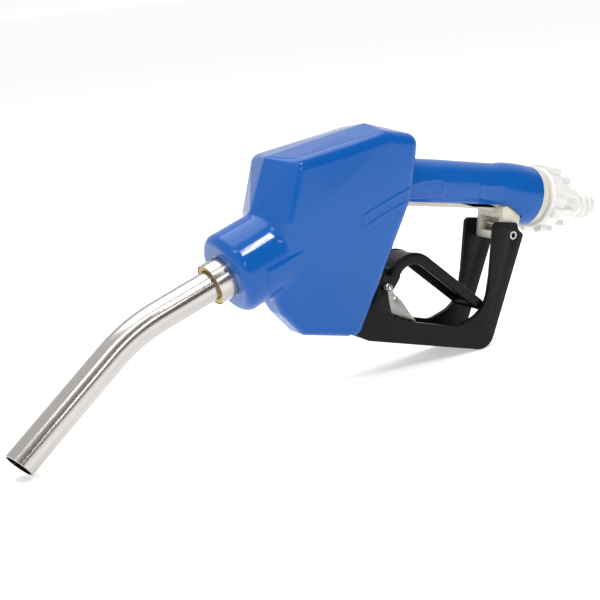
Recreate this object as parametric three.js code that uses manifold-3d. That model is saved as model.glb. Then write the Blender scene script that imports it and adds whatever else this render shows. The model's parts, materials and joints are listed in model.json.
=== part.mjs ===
// Automatic dispensing nozzle with a 19 mm spout, for water-based exhaust fluid.
//
// Millimetres. The nozzle is drawn in its own axes: the origin is on the handle's axis, +X points
// along the handle towards the hose, +Y to the far side and +Z up. The last lines of the file stand
// it on its spout tip and the heel of its guard, centred over the origin.

import * as THREE from "three";
import { ConvexGeometry } from "three/addons/geometries/ConvexGeometry.js";
import { mergeVertices } from "three/addons/utils/BufferGeometryUtils.js";
import Module from "manifold-3d";

const wasm = await Module();
wasm.setup();

// ---------------------------------------------------------------- driving dimensions

const GAP = 0.3;              // between pieces that touch
const COVER_WALL = 2.0;
const BODY_INSET = COVER_WALL + 0.6;

// head: a rounded gable block, the same on both sides and narrower below; each corner of its side
// outline has its own half width
const HEAD_ROUNDING = 7.5;
const RIDGE_ROUNDING = 3;
const HEAD_SIDE = [[-194.5, 11, 32], [-199.3, -25.2, 31], [-197.3, -66, 17], [-184, -85, 13],
  [-167, -98.9, 13], [-129.4, -99, 20.5], [-104.2, -9.8, 28], [-103.6, 31.4, 31], [-129.6, 32.4, 32]];
const HEAD_RIDGE = [[-199.5, 11], [-207, -23], [-204.5, -53], [-100.5, 25.5], [-100, 32.5],
  [-128.5, 35.8]];

// nose and spout: a straight stretch, a bend and a longer straight stretch
const NOSE = [-219.6, -61.2];
const NOSE_SLOPE = 28.8;
const NOSE_RADIUS = 26;
const NOSE_FRONT = 2;
const NOSE_LENGTH = 62;
const NOSE_RIM = 6;
const SPOUT_RADIUS = 9.5;
const SPOUT_WALL = 1.0;
const SPOUT_TIP_SLOPE = 49.0;
const SPOUT_TO_BEND = 69.3;
const SPOUT_FROM_BEND = 100.4;
const SPOUT_BEND_RADIUS = 100;
const SPOUT_INSIDE = 11;
const VENT_OFFSET = 5.6;
const VENT_RADIUS = 1.9;
const COLLAR_RADIUS = 13.4;
const COLLAR_OUT = 13;
const COLLAR_IN = 13;

// handle and hose inlet: [x, height of centre, radius] along the handle
const HANDLE = [[-114, 0, 15.6], [-60, 0, 15.6], [-30, 0, 15.4], [-20, -0.6, 16], [-12, -1.9, 18.2],
  [-4, -4, 20.3], [4, -5.4, 21.2], [11.2, -6.2, 21.2]];
const INLET = [11.2, -6.2];
const INLET_TILT = 5;
const BORE_RADIUS = 8.5;
const SPIGOT_RADIUS = 13.6;
const SPIGOT_END = 22;
const RING_END = 8.7;
const NUT_END = 36;
const NUT_LUGS = 8;
const TAIL_END = 63;
const TAIL_BORE = 6.8;
const BARBS = 4;

// guard: a channel, open upwards, from the head's heel to the lug under the handle
const GUARD_HALF_WIDTH = 16.5;
const GUARD_WALL = 3;
const LUG_HALF_WIDTH = GUARD_HALF_WIDTH - GUARD_WALL - GAP;
const GUARD_PIN = [-8.8, -32.2];
const GUARD_PIN_RADIUS = 3;
const HEEL = [-20.1, -111.9];
const HEEL_RADIUS = 12;
const TONGUE_TOP = -87.8;
const TONGUE_THICKNESS = 2.6;

// lever: an arch and a straight bar, on a narrower forked leg
const LEVER_PIVOT = [-117, -84];
const LEVER_HALF_WIDTH = 12.8;
const LEVER_DEPTH = 7.5;
const LEVER_WEB = 3;
const LEVER_ARM = 3.6;
const ARCH_CENTRE = [-87, -65.5];
const ARCH_RADIUS = 20.2;
const ARCH_END = 165;
const BAR_SLOPE = -30.5;
const BAR_LENGTH = 57;
const LEG_HALF_WIDTH = 8.5;
const LEG_TOP = [-101.8, -61];
const CLIP_PIVOT = [-106.5, -68.6];

// valve train: the stem's line starts at the lever's arch, the latch's line at the diaphragm
const STEM_TIP_ANGLE = 150;
const STEM_SLOPE = 18.2;
const STEM_RADIUS = 3;
const CHAMBER_RADIUS = 11.1;
const DIAPHRAGM = [-149, 13];
const DIAPHRAGM_RADIUS = 20;
const SCREW_CIRCLE = 17.6;
const LATCH_HALF_WIDTH = 6;
const LATCH_THICKNESS = 4;
const DUCT_OFFSET = 13.5;
const DUCT_RADIUS = 3.8;

// ---------------------------------------------------------------- small tools

const rad = THREE.MathUtils.degToRad;

// A closed geometry as a manifold solid, turned to face out, without zero-area triangles.
function solid(geometry) {
  const plain = geometry.clone();
  plain.deleteAttribute("normal");
  plain.deleteAttribute("uv");
  const merged = mergeVertices(plain, 1e-3);
  const place = merged.getAttribute("position");
  const corner = [new THREE.Vector3(), new THREE.Vector3(), new THREE.Vector3()];
  const kept = [];
  let volume = 0;
  for (let i = 0; i < merged.index.count; i += 3) {
    const ids = [0, 1, 2].map((k) => merged.index.getX(i + k));
    if (new Set(ids).size < 3) continue;
    ids.forEach((id, k) => corner[k].fromBufferAttribute(place, id));
    volume += corner[0].dot(corner[1].clone().cross(corner[2]));
    kept.push(ids);
  }
  const order = volume < 0 ? [0, 2, 1] : [0, 1, 2];
  const triVerts = new Uint32Array(kept.flatMap((ids) => order.map((k) => ids[k])));
  const vertProperties = new Float32Array(place.array);
  return new wasm.Manifold(new wasm.Mesh({ numProp: 3, vertProperties, triVerts }));
}

function geometryOf(body) {
  const mesh = body.getMesh();
  const geometry = new THREE.BufferGeometry();
  geometry.setAttribute("position", new THREE.BufferAttribute(new Float32Array(mesh.vertProperties), 3));
  geometry.setIndex(new THREE.BufferAttribute(new Uint32Array(mesh.triVerts), 1));
  geometry.computeVertexNormals();
  return geometry;
}

const join = (...bodies) => bodies.reduce((sum, body) => sum.add(body));
const cut = (body, ...tools) => tools.reduce((rest, tool) => rest.subtract(tool), body);

// The matrix of a line in the X-Z plane: local +X runs along the line, local +Y stays +Y.
function line([x, z], slope) {
  const matrix = new THREE.Matrix4().makeRotationY(-rad(slope));
  return matrix.setPosition(x, 0, z);
}

function pointOn(matrix, along, across = 0) {
  const point = new THREE.Vector3(along, 0, across).applyMatrix4(matrix);
  return [point.x, point.z];
}

// A solid of revolution about the line; the profile is a list of [distance along, radius].
function turned(matrix, profile, segments = 16) {
  const points = profile.map(([along, radius]) => new THREE.Vector2(radius, along));
  const geometry = new THREE.LatheGeometry(points, segments);
  geometry.rotateZ(-Math.PI / 2);
  return solid(geometry.applyMatrix4(matrix));
}

const rodOn = (matrix, from, to, radius, segments = 16) =>
  turned(matrix, [[from, 0], [from, radius], [to, radius], [to, 0]], segments);

const ringOn = (matrix, from, to, inner, outer, segments = 16) =>
  turned(matrix, [[from, inner], [from, outer], [to, outer], [to, inner], [from, inner]], segments);

// A box on a line: x, y and z ranges in the line's own directions.
function boxOn(matrix, [x0, x1], [y0, y1], [z0, z1]) {
  const geometry = new THREE.BoxGeometry(x1 - x0, y1 - y0, z1 - z0);
  geometry.translate((x0 + x1) / 2, (y0 + y1) / 2, (z0 + z1) / 2);
  return solid(geometry.applyMatrix4(matrix));
}

// A cylinder across the nozzle, along Y.
function crossRod([x, z], radius, y0, y1, segments = 16) {
  const geometry = new THREE.CylinderGeometry(radius, radius, y1 - y0, segments);
  geometry.translate(x, (y0 + y1) / 2, z);
  return solid(geometry);
}

// A cylinder between two points.
function rodBetween(a, b, radius, segments = 12) {
  const from = new THREE.Vector3(...a);
  const to = new THREE.Vector3(...b);
  const geometry = new THREE.CylinderGeometry(radius, radius, from.distanceTo(to), segments);
  const turn = new THREE.Quaternion().setFromUnitVectors(
    new THREE.Vector3(0, 1, 0), to.clone().sub(from).normalize());
  geometry.applyQuaternion(turn);
  geometry.translate(...from.add(to).multiplyScalar(0.5).toArray());
  return solid(geometry);
}

// A flat outline in the X-Z plane, extruded from y0 to y1.
function slab(outline, y0, y1) {
  const shape = outline instanceof THREE.Shape ? outline
    : new THREE.Shape(outline.map(([x, z]) => new THREE.Vector2(x, z)));
  const geometry = new THREE.ExtrudeGeometry(shape, { depth: y1 - y0, bevelEnabled: false,
    curveSegments: 8 });
  geometry.rotateX(Math.PI / 2);
  geometry.translate(0, y1, 0);
  return solid(geometry);
}

// An outline with rounded corners; each corner is [x, z, radius].
function rounded(corners) {
  const path = new THREE.Path();
  const count = corners.length;
  corners.forEach(([x, z, radius = 0], i) => {
    const here = new THREE.Vector2(x, z);
    const back = new THREE.Vector2(...corners[(i + count - 1) % count]).sub(here).normalize();
    const next = new THREE.Vector2(...corners[(i + 1) % count]).sub(here).normalize();
    const half = Math.acos(THREE.MathUtils.clamp(back.dot(next), -1, 1)) / 2;
    const reach = radius / Math.tan(half);
    const start = here.clone().addScaledVector(back, reach);
    const end = here.clone().addScaledVector(next, reach);
    if (i === 0) path.moveTo(start.x, start.y);
    else path.lineTo(start.x, start.y);
    if (radius > 0) {
      const centre = back.clone().add(next).normalize().multiplyScalar(radius / Math.sin(half)).add(here);
      const from = start.clone().sub(centre).angle();
      const to = end.clone().sub(centre).angle();
      path.absarc(centre.x, centre.y, radius, from, to, back.cross(next) > 0);
    }
  });
  return new THREE.Shape(path.getPoints(3));
}

// The strip between two offsets of an open line of points; offsets are to the line's right.
function strip(points, near, far) {
  const shifted = (offset) => points.map(([x, z], i) => {
    const a = points[Math.max(i - 1, 0)];
    const b = points[Math.min(i + 1, points.length - 1)];
    const length = Math.hypot(b[0] - a[0], b[1] - a[1]);
    return [x + (b[1] - a[1]) / length * offset, z - (b[0] - a[0]) / length * offset];
  });
  return [...shifted(near), ...shifted(far).reverse()];
}

// A helical spring about the line.
function spring(matrix, from, to, radius, wire, turns) {
  class Helix extends THREE.Curve {
    getPoint(t, target = new THREE.Vector3()) {
      const angle = 2 * Math.PI * turns * t;
      const along = THREE.MathUtils.lerp(from + wire, to - wire, t);
      return target.set(along, radius * Math.cos(angle), radius * Math.sin(angle)).applyMatrix4(matrix);
    }
  }
  const section = new THREE.Shape();
  section.absarc(0, 0, wire, 0, 2 * Math.PI);
  const geometry = new THREE.ExtrudeGeometry(section, {
    extrudePath: new Helix(), steps: Math.round(turns * 10), curveSegments: 2, bevelEnabled: false });
  return solid(geometry);
}

// ---------------------------------------------------------------- lines that pieces sit on

const noseLine = line(NOSE, NOSE_SLOPE);
const inletLine = line(INLET, -INLET_TILT);
const stemTip = [
  ARCH_CENTRE[0] + (ARCH_RADIUS + 0.5) * Math.cos(rad(STEM_TIP_ANGLE)),
  ARCH_CENTRE[1] + (ARCH_RADIUS + 0.5) * Math.sin(rad(STEM_TIP_ANGLE))];
const stemLine = line(stemTip, 180 - STEM_SLOPE);
const latchDrop = Math.hypot(LEVER_PIVOT[0] - DIAPHRAGM[0], LEVER_PIVOT[1] - DIAPHRAGM[1]);
const latchSlope = THREE.MathUtils.radToDeg(
  Math.atan2(LEVER_PIVOT[1] - DIAPHRAGM[1], LEVER_PIVOT[0] - DIAPHRAGM[0]));
const latchLine = line(DIAPHRAGM, latchSlope);

// Where the stem's line crosses the latch's, as a distance down the latch.
function stemCrossing() {
  const [ux, uz] = [Math.cos(rad(latchSlope)), Math.sin(rad(latchSlope))];
  const [sx, sz] = [-Math.cos(rad(STEM_SLOPE)), Math.sin(rad(STEM_SLOPE))];
  const dx = stemTip[0] - DIAPHRAGM[0];
  const dz = stemTip[1] - DIAPHRAGM[1];
  return (dx * sz - dz * sx) / (ux * sz - uz * sx);
}

// ---------------------------------------------------------------- cover and body

// Corners of a convex outline moved in by a rounding radius: the centres of its rounded corners.
function cornerCentres(outline, radius) {
  const count = outline.length;
  const inward = (a, b) => new THREE.Vector2(-(b[1] - a[1]), b[0] - a[0]).normalize();
  return outline.map((corner, i) => {
    const before = inward(outline[(i + count - 1) % count], corner);
    const after = inward(corner, outline[(i + 1) % count]);
    const shift = before.clone().add(after).multiplyScalar(radius / (1 + before.dot(after)));
    return [corner[0] + shift.x, corner[1] + shift.y];
  });
}

function head(inset, around) {
  const points = [];
  const addBall = (x, y, z, radius) => {
    const ball = new THREE.SphereGeometry(radius, around, 4);
    const place = ball.getAttribute("position");
    for (let i = 0; i < place.count; i += 1) {
      points.push(new THREE.Vector3(x, y, z).add(new THREE.Vector3().fromBufferAttribute(place, i)));
    }
  };
  for (const [i, [x, z]] of cornerCentres(HEAD_SIDE, HEAD_ROUNDING).entries()) {
    for (const side of [-1, 1]) {
      addBall(x, side * (HEAD_SIDE[i][2] - HEAD_ROUNDING), z, HEAD_ROUNDING - inset);
    }
  }
  for (const [x, z] of cornerCentres(HEAD_RIDGE, RIDGE_ROUNDING)) addBall(x, 0, z,
    RIDGE_ROUNDING - inset);
  return solid(new ConvexGeometry(points));
}

function nose(inset, sides) {
  const radius = NOSE_RADIUS - inset;
  const rim = NOSE_RIM - inset;
  const start = inset - NOSE_FRONT;
  const profile = [[start, 0]];
  for (let i = 0; i <= 4; i += 1) {
    const turn = rad(90 * i / 4);
    profile.push([start + rim * (1 - Math.sin(turn)), radius - rim * (1 - Math.cos(turn))]);
  }
  profile.splice(1, 5, ...profile.slice(1, 6).reverse());
  profile.push([NOSE_LENGTH, radius], [NOSE_LENGTH, 0]);
  return turned(noseLine, profile, sides);
}

// A tube of changing radius along the handle; overrun lengthens its hose end.
function handle(inset, sides, overrun) {
  const rings = HANDLE.map(([x, z, radius], i) =>
    [x + (i === HANDLE.length - 1 ? overrun : 0), z, radius - inset]);
  const positions = [];
  for (const [x, z, radius] of rings) {
    for (let k = 0; k < sides; k += 1) {
      const angle = 2 * Math.PI * k / sides;
      positions.push(x, radius * Math.cos(angle), z + radius * Math.sin(angle));
    }
  }
  const index = [];
  for (let i = 0; i + 1 < rings.length; i += 1) {
    for (let k = 0; k < sides; k += 1) {
      const next = (k + 1) % sides;
      const [a, b] = [i * sides + k, i * sides + next];
      index.push(a, b, a + sides, b, b + sides, a + sides);
    }
  }
  const last = (rings.length - 1) * sides;
  for (let k = 1; k + 1 < sides; k += 1) {
    index.push(0, k + 1, k, last, last + k, last + k + 1);
  }
  const geometry = new THREE.BufferGeometry();
  geometry.setAttribute("position", new THREE.Float32BufferAttribute(positions, 3));
  geometry.setIndex(index);
  return solid(geometry);
}

// Head, nose and handle as one solid; the count of sides sets how finely the rounds are cut.
const shell = (inset, sides, overrun = 0) =>
  join(head(inset, sides / 3), nose(inset, sides), handle(inset, sides, overrun));

function splashCover() {
  const skin = cut(shell(0, 24), shell(COVER_WALL, 24, 6));
  const noseMouth = rodOn(noseLine, -4, 8, COLLAR_RADIUS + 1.3, 24);
  const underHandle = slab([[-97, -40], [-97, -12.3], [-14, -12.3], [-3, -17], [-0.8, -19], [-0.8, -40]],
    -14.5, 14.5);
  const heelMouth = slab([[-100, -34], [-130, -34], [-137.5, -84], [-137.5, -105], [-90, -105]],
    -GUARD_HALF_WIDTH - 0.8, GUARD_HALF_WIDTH + 0.8);
  return cut(skin, noseMouth, underHandle, heelMouth);
}

function inletParts() {
  const ring = turned(inletLine, [[-8, 0], [-8, 18.2], [0.4, 18.6], [RING_END - 1.5, 18.4],
    [RING_END, 17.6],
    [RING_END, 0]], 24);
  const spigot = rodOn(inletLine, RING_END - 1, SPIGOT_END, SPIGOT_RADIUS, 20);
  return join(ring, spigot);
}

function guardLug() {
  const block = slab(rounded([[-17, -13, 2], [-16.5, -36.5, 3], [-1.6, -37, 3], [-1.6, -19.5, 1],
    [-6, -16.5, 1],
    [-13, -13, 1]]), -LUG_HALF_WIDTH, LUG_HALF_WIDTH);
  const neck = slab([[-48, -9], [-48, -12.6], [-17, -18], [-6, -18], [-6, -9]], -5, 5);
  const recess = slab([[-20, -21], [-9, -21], [-9, -31], [-20, -31]],
    -LUG_HALF_WIDTH + 3.5, LUG_HALF_WIDTH - 3.5);
  return cut(join(block, neck), recess);
}

function valveBody() {
  const drop = stemCrossing();
  const outer = join(
    cut(shell(BODY_INSET, 18), boxOn(latchLine, [-60, -1], [-40, 40], [-90, 40])),
    slab(rounded([[-95, -6, 1], [-95, -15.6, 1], [-14, -15.6, 1], [-14, -6, 1]]), -5, 5),
    guardLug(),
    inletParts());
  const roomForGuard = join(
    slab([[-90, -58], [-118, -58], [-131, -70], [-140, -80], [-140, TONGUE_TOP + GAP],
    [-175, TONGUE_TOP + GAP],
      [-175, -120], [-90, -120]], -GUARD_HALF_WIDTH - 0.8, GUARD_HALF_WIDTH + 0.8),
    slab([[-100, -100], [-118, -46], [-124, -68], [-134, -92]], -30, 30));
  const bores = [
    rodOn(inletLine, -16, SPIGOT_END + 5, BORE_RADIUS),
    rodOn(line([0, 0], 180), 4, 118, BORE_RADIUS),
    crossRod([-118, 0], 5, -DUCT_OFFSET, DUCT_OFFSET),
    ...[-1, 1].map((side) => rodBetween([-118, side * DUCT_OFFSET, 0],
      [pointOn(stemLine, 47)[0], side * DUCT_OFFSET, pointOn(stemLine, 47)[1]], DUCT_RADIUS)),
    rodOn(noseLine, 0, 24, COLLAR_RADIUS + 1.1),
    rodOn(noseLine, 20, 50, 10.6),
    rodOn(stemLine, 42, 130, CHAMBER_RADIUS),
    rodOn(stemLine, 8, 45, STEM_RADIUS + 0.3),
    rodOn(stemLine, 8, 18.3, 5.5),
    rodOn(stemLine, 33, 43, 6.3),
    rodOn(latchLine, -3, 7, 17),
    rodOn(latchLine, 5, 50, 8.7),
    boxOn(latchLine, [40, 110], [-LATCH_HALF_WIDTH - 0.4, LATCH_HALF_WIDTH + 0.4],
      [-LATCH_THICKNESS / 2 - 0.4, LATCH_THICKNESS / 2 + 0.4]),
    ...screwHoles(-5, 8),
    crossRod(GUARD_PIN, GUARD_PIN_RADIUS + GAP, -20, 20),
    crossRod([-13, -26.5], 1.9, -12, 12, 12),
    ...[-1, 1].map((side) => rodBetween([-148, side * 7, -100], [-148, side * 7, -76], 1.9))];
  if (drop < 50) throw new Error("the stem must cross the latch below its spring");
  return cut(outer, roomForGuard, ...bores);
}

// ---------------------------------------------------------------- spout and nose pieces

// The spout's centre line, moved sideways in its own plane, from inside the collar to near its tip.
function spoutPath(offset, startInside, shortOfTip) {
  const bend = rad(SPOUT_TIP_SLOPE - NOSE_SLOPE);
  const tangent = SPOUT_BEND_RADIUS * Math.tan(bend / 2);
  const radius = SPOUT_BEND_RADIUS - offset;
  const centreLine = line(pointOn(noseLine, -SPOUT_TO_BEND + tangent, -SPOUT_BEND_RADIUS), NOSE_SLOPE);
  const path = new THREE.CurvePath();
  const at = ([x, z]) => new THREE.Vector3(x, 0, z);
  const onBend = (angle) => at(pointOn(centreLine, -radius * Math.sin(angle), radius * Math.cos(angle)));
  const tipRun = SPOUT_FROM_BEND - tangent - shortOfTip;
  const down = new THREE.Vector3(-Math.cos(rad(SPOUT_TIP_SLOPE)), 0, -Math.sin(rad(SPOUT_TIP_SLOPE)));
  const steps = 6;
  let last = at(pointOn(noseLine, startInside, -offset));
  for (let i = 0; i <= steps; i += 1) {
    const next = onBend(bend * i / steps);
    path.add(new THREE.LineCurve3(last, next));
    last = next;
  }
  path.add(new THREE.LineCurve3(last, last.clone().addScaledVector(down, tipRun)));
  return path;
}

// A tube along a path of straight pieces: one ring at each joint, cut square at both ends.
function pipe(path, outer, inner, sides) {
  const spots = [path.curves[0].v1, ...path.curves.map((piece) => piece.v2)];
  const directions = path.curves.map((piece) => piece.v2.clone().sub(piece.v1).normalize());
  const positions = [];
  const index = [];
  const addRings = (radius) => {
    spots.forEach((spot, i) => {
      const before = directions[Math.max(i - 1, 0)];
      const after = directions[Math.min(i, directions.length - 1)];
      const ahead = before.clone().add(after).normalize();
      const up = new THREE.Vector3(-ahead.z, 0, ahead.x);
      for (let k = 0; k < sides; k += 1) {
        const angle = 2 * Math.PI * k / sides;
        const ring = spot.clone().addScaledVector(up, radius * Math.sin(angle));
        positions.push(ring.x, radius * Math.cos(angle), ring.z);
      }
    });
  };
  const ringCount = spots.length;
  addRings(outer);
  addRings(inner);
  const at = (layer, i, k) => (layer * ringCount + i) * sides + k % sides;
  const quad = (a, b, c, d) => index.push(a, b, c, a, c, d);
  for (let k = 0; k < sides; k += 1) {
    for (let i = 0; i + 1 < ringCount; i += 1) {
      quad(at(0, i, k), at(0, i, k + 1), at(0, i + 1, k + 1), at(0, i + 1, k));
      quad(at(1, i, k), at(1, i + 1, k), at(1, i + 1, k + 1), at(1, i, k + 1));
    }
    quad(at(0, 0, k), at(1, 0, k), at(1, 0, k + 1), at(0, 0, k + 1));
    const end = ringCount - 1;
    quad(at(0, end, k), at(0, end, k + 1), at(1, end, k + 1), at(1, end, k));
  }
  const geometry = new THREE.BufferGeometry();
  geometry.setAttribute("position", new THREE.Float32BufferAttribute(positions, 3));
  geometry.setIndex(index);
  return solid(geometry);
}

const spoutTube = () => pipe(spoutPath(0, SPOUT_INSIDE, 0), SPOUT_RADIUS, SPOUT_RADIUS - SPOUT_WALL, 20);
const ventTube = () => pipe(spoutPath(VENT_OFFSET, SPOUT_INSIDE - 1, 4), VENT_RADIUS,
  VENT_RADIUS - 0.6, 8);

function spoutCollar() {
  const bore = SPOUT_RADIUS + GAP;
  return turned(noseLine, [[-COLLAR_OUT, 12.9], [-COLLAR_OUT, COLLAR_RADIUS], [-1.6, COLLAR_RADIUS],
    [-1.6, COLLAR_RADIUS + 0.6], [COLLAR_IN, COLLAR_RADIUS + 0.6], [COLLAR_IN, bore], [4, bore],
    [4, bore + 2.2],
    [1, bore + 2.2], [1, bore], [-COLLAR_OUT + 2.2, bore], [-COLLAR_OUT + 2.2, 12.9],
    [-COLLAR_OUT, 12.9]], 24);
}

const retainingRing = () =>
  ringOn(noseLine, -COLLAR_OUT + 0.4, -COLLAR_OUT + 1.9, SPOUT_RADIUS + GAP, 12.6, 24);

function spoutSeal() {
  const middle = SPOUT_RADIUS + GAP + 1.05;
  const profile = [];
  for (let i = 0; i <= 6; i += 1) {
    const angle = 2 * Math.PI * i / 6;
    profile.push([2.5 + 0.9 * Math.cos(angle), middle + 0.9 * Math.sin(angle)]);
  }
  return turned(noseLine, profile);
}

const checkSeat = () => turned(noseLine,
  [[27, 6.2], [25.6, 8], [25.6, 10.3], [31, 10.3], [31, 6.2], [27, 6.2]]);

const checkPoppet = () => turned(noseLine,
  [[17, 0], [17, 2.4], [22, 2.4], [22, 8.4], [24.6, 8.4], [27, 5.6], [29.5, 3], [29.5, 0]]);

const checkSpring = () => spring(noseLine, 13.3, 21.8, 5.2, 0.6, 3.5);

// ---------------------------------------------------------------- main valve

const valveStem = () => turned(stemLine, [[0, 0], [0.8, 2.2], [2.4, STEM_RADIUS], [56.8, STEM_RADIUS],
  [56.8, 0]]);
const stemGuide = () => ringOn(stemLine, 13.5, 18, STEM_RADIUS + GAP, 5.2);
const stemGland = () => cut(ringOn(stemLine, 34, 41.5, STEM_RADIUS + GAP, 6),
  ringOn(stemLine, 36.6, 39.4, 2, 4.9));
const stemSeal = () => ringOn(stemLine, 37, 39, STEM_RADIUS + 0.05, 4.6);
const mainSeat = () => turned(stemLine, [[52, 6.4], [52, 10.8], [55, 10.8], [55, 7.2], [54, 6.4],
  [52, 6.4]]);
const mainSeal = () => ringOn(stemLine, 55.3, 56.8, STEM_RADIUS + GAP, 8.6);
const mainPoppet = () => turned(stemLine, [[57.1, 0], [57.1, 8.8], [59.4, 8.8], [59.4, 4], [64, 3.4],
  [64, 0]]);
const mainSpring = () => spring(stemLine, 59.7, 77, 6.4, 0.75, 4);

function valveBonnet() {
  const plug = rodOn(stemLine, 77.3, 87, CHAMBER_RADIUS - GAP);
  const key = rodOn(stemLine, 82, 93, 4.5, 6);
  return cut(plug, key);
}

// ---------------------------------------------------------------- diaphragm and latch

const shifted = (matrix, y, z) => matrix.clone().multiply(new THREE.Matrix4().makeTranslation(0, y, z));

const screwPlaces = () => [45, 135, 225, 315].map((angle) =>
  [SCREW_CIRCLE * Math.cos(rad(angle)), SCREW_CIRCLE * Math.sin(rad(angle))]);

const screwHoles = (from, to) => screwPlaces().map(([y, z]) => rodOn(shifted(latchLine, y, z), from,
  to, 1.9, 8));

function diaphragm() {
  const sheet = turned(latchLine, [[-2.2, 3.4], [-2.2, 10], [-1.2, 12.5], [-2.2, 15.5],
    [-2.2, DIAPHRAGM_RADIUS],
    [-1.3, DIAPHRAGM_RADIUS], [-1.3, 15.9], [-0.3, 12.5], [-1.3, 9.6], [-1.3, 3.4], [-2.2, 3.4]], 20);
  return cut(sheet, ...screwHoles(-5, 3));
}

function diaphragmCap() {
  const dome = turned(latchLine, [[-2.5, 13.5], [-2.5, DIAPHRAGM_RADIUS], [-5.5, DIAPHRAGM_RADIUS],
    [-5.5, 14.3],
    [-9, 12.8], [-10, 10.5], [-10, 0], [-8.6, 0], [-8.6, 11], [-2.5, 13.5]], 20);
  return cut(dome, ...screwHoles(-14, 0));
}

function capScrew([y, z]) {
  const axis = shifted(latchLine, y, z);
  const screw = turned(axis, [[-7.6, 0], [-7.6, 2.4], [-7.1, 3], [-5.5, 3], [-5.5, 1.5], [7, 1.5],
    [7, 0]], 10);
  return cut(screw, boxOn(axis, [-9, -6.6], [-0.5, 0.5], [-1.8, 1.8]), boxOn(axis, [-9, -6.6],
    [-1.8, 1.8], [-0.5, 0.5]));
}

const diaphragmPin = () => turned(latchLine, [[-4.2, 0], [-4.2, 2.4], [-3.4, 2.8], [-3.4, 8.6],
  [-2.5, 8.6],
  [-2.5, 2.9], [-1, 2.9], [-1, 8.6], [-0.1, 8.6], [-0.1, 2.8], [17, 2.8], [19, 1.4], [19, 0]], 16);

const diaphragmSpring = () => spring(latchLine, -8.4, -3.6, 5.6, 0.5, 2.5);

function latchShaft() {
  const drop = stemCrossing();
  const top = cut(
    turned(latchLine, [[9, 0], [9, 6.4], [26, 6.4], [26, 8.2], [28, 8.2], [28, 0]]),
    rodOn(latchLine, 5, 24, 3.2),
    boxOn(latchLine, [10.4, 15.6], [-10, 10], [-2.9, 2.9]));
  const bar = boxOn(latchLine, [27, latchDrop], [-LATCH_HALF_WIDTH, LATCH_HALF_WIDTH],
    [-LATCH_THICKNESS / 2, LATCH_THICKNESS / 2]);
  const eye = crossRod(LEVER_PIVOT, 4.5, -LATCH_HALF_WIDTH, LATCH_HALF_WIDTH);
  const window = boxOn(latchLine, [drop - 11, drop + 6], [-3.7, 3.7], [-10, 10]);
  return cut(join(top, bar, eye), window, crossRod(LEVER_PIVOT, 2.3, -20, 20));
}

function latchRoller(side) {
  const [x, z] = pointOn(latchLine, 13);
  const across = new THREE.Vector3(-Math.sin(rad(latchSlope)), 0, Math.cos(rad(latchSlope)));
  const a = new THREE.Vector3(x, side * 5.6, z).addScaledVector(across, 2.5);
  const b = new THREE.Vector3(x, side * 5.6, z).addScaledVector(across, -2.5);
  return rodBetween(a.toArray(), b.toArray(), 2);
}

const latchSpring = () => spring(latchLine, 28.3, 48, 7.3, 0.75, 4);

// ---------------------------------------------------------------- lever and clip

// The lever's outer line: round the arch from its leg, then straight down the bar.
function leverLine(startAngle = ARCH_END, barLength = BAR_LENGTH) {
  const points = [];
  const endAngle = 90 + BAR_SLOPE;
  const steps = 10;
  for (let i = 0; i <= steps; i += 1) {
    const angle = rad(startAngle + (endAngle - startAngle) * i / steps);
    points.push([ARCH_CENTRE[0] + ARCH_RADIUS * Math.cos(angle),
      ARCH_CENTRE[1] + ARCH_RADIUS * Math.sin(angle)]);
  }
  const [x, z] = points[steps];
  points.push([x + barLength * Math.cos(rad(BAR_SLOPE)), z + barLength * Math.sin(rad(BAR_SLOPE))]);
  return points;
}

function handLever() {
  const outer = leverLine();
  const web = slab(strip(outer, 0, LEVER_WEB), -LEVER_HALF_WIDTH, LEVER_HALF_WIDTH);
  const arms = [[-LEVER_HALF_WIDTH, -LEVER_HALF_WIDTH + LEVER_ARM],
    [LEVER_HALF_WIDTH - LEVER_ARM, LEVER_HALF_WIDTH]]
    .map(([y0, y1]) => slab(strip(outer, 0, LEVER_DEPTH), y0, y1));
  const end = outer[outer.length - 1];
  const endWall = slab(strip([pointOn(line(end, BAR_SLOPE), -3), end], 0, LEVER_DEPTH),
    -LEVER_HALF_WIDTH, LEVER_HALF_WIDTH);
  const endRound = crossRod(pointOn(line(end, BAR_SLOPE), 0, -LEVER_DEPTH / 2), LEVER_DEPTH / 2,
    -LEVER_HALF_WIDTH, LEVER_HALF_WIDTH);
  const bossPoints = [];
  for (const [[x, z], radius] of [[LEG_TOP, 6], [LEVER_PIVOT, 6.3]]) {
    for (let k = 0; k < 16; k += 1) {
      const angle = 2 * Math.PI * k / 16;
      for (const y of [-LEG_HALF_WIDTH, LEG_HALF_WIDTH]) {
        bossPoints.push(new THREE.Vector3(x + radius * Math.cos(angle), y, z + radius * Math.sin(angle)));
      }
    }
  }
  const leg = solid(new ConvexGeometry(bossPoints));
  const fork = crossRod(LEVER_PIVOT, 15, -LATCH_HALF_WIDTH - 0.4, LATCH_HALF_WIDTH + 0.4);
  return cut(join(web, ...arms, endWall, endRound, cut(leg, fork)),
    crossRod(LEVER_PIVOT, 2.3, -20, 20), crossRod(CLIP_PIVOT, 1.8, -20, 20, 16));
}

const leverPin = () => crossRod(LEVER_PIVOT, 2, -GUARD_HALF_WIDTH + GUARD_WALL + 0.5,
  GUARD_HALF_WIDTH - GUARD_WALL - 0.5);

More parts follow.
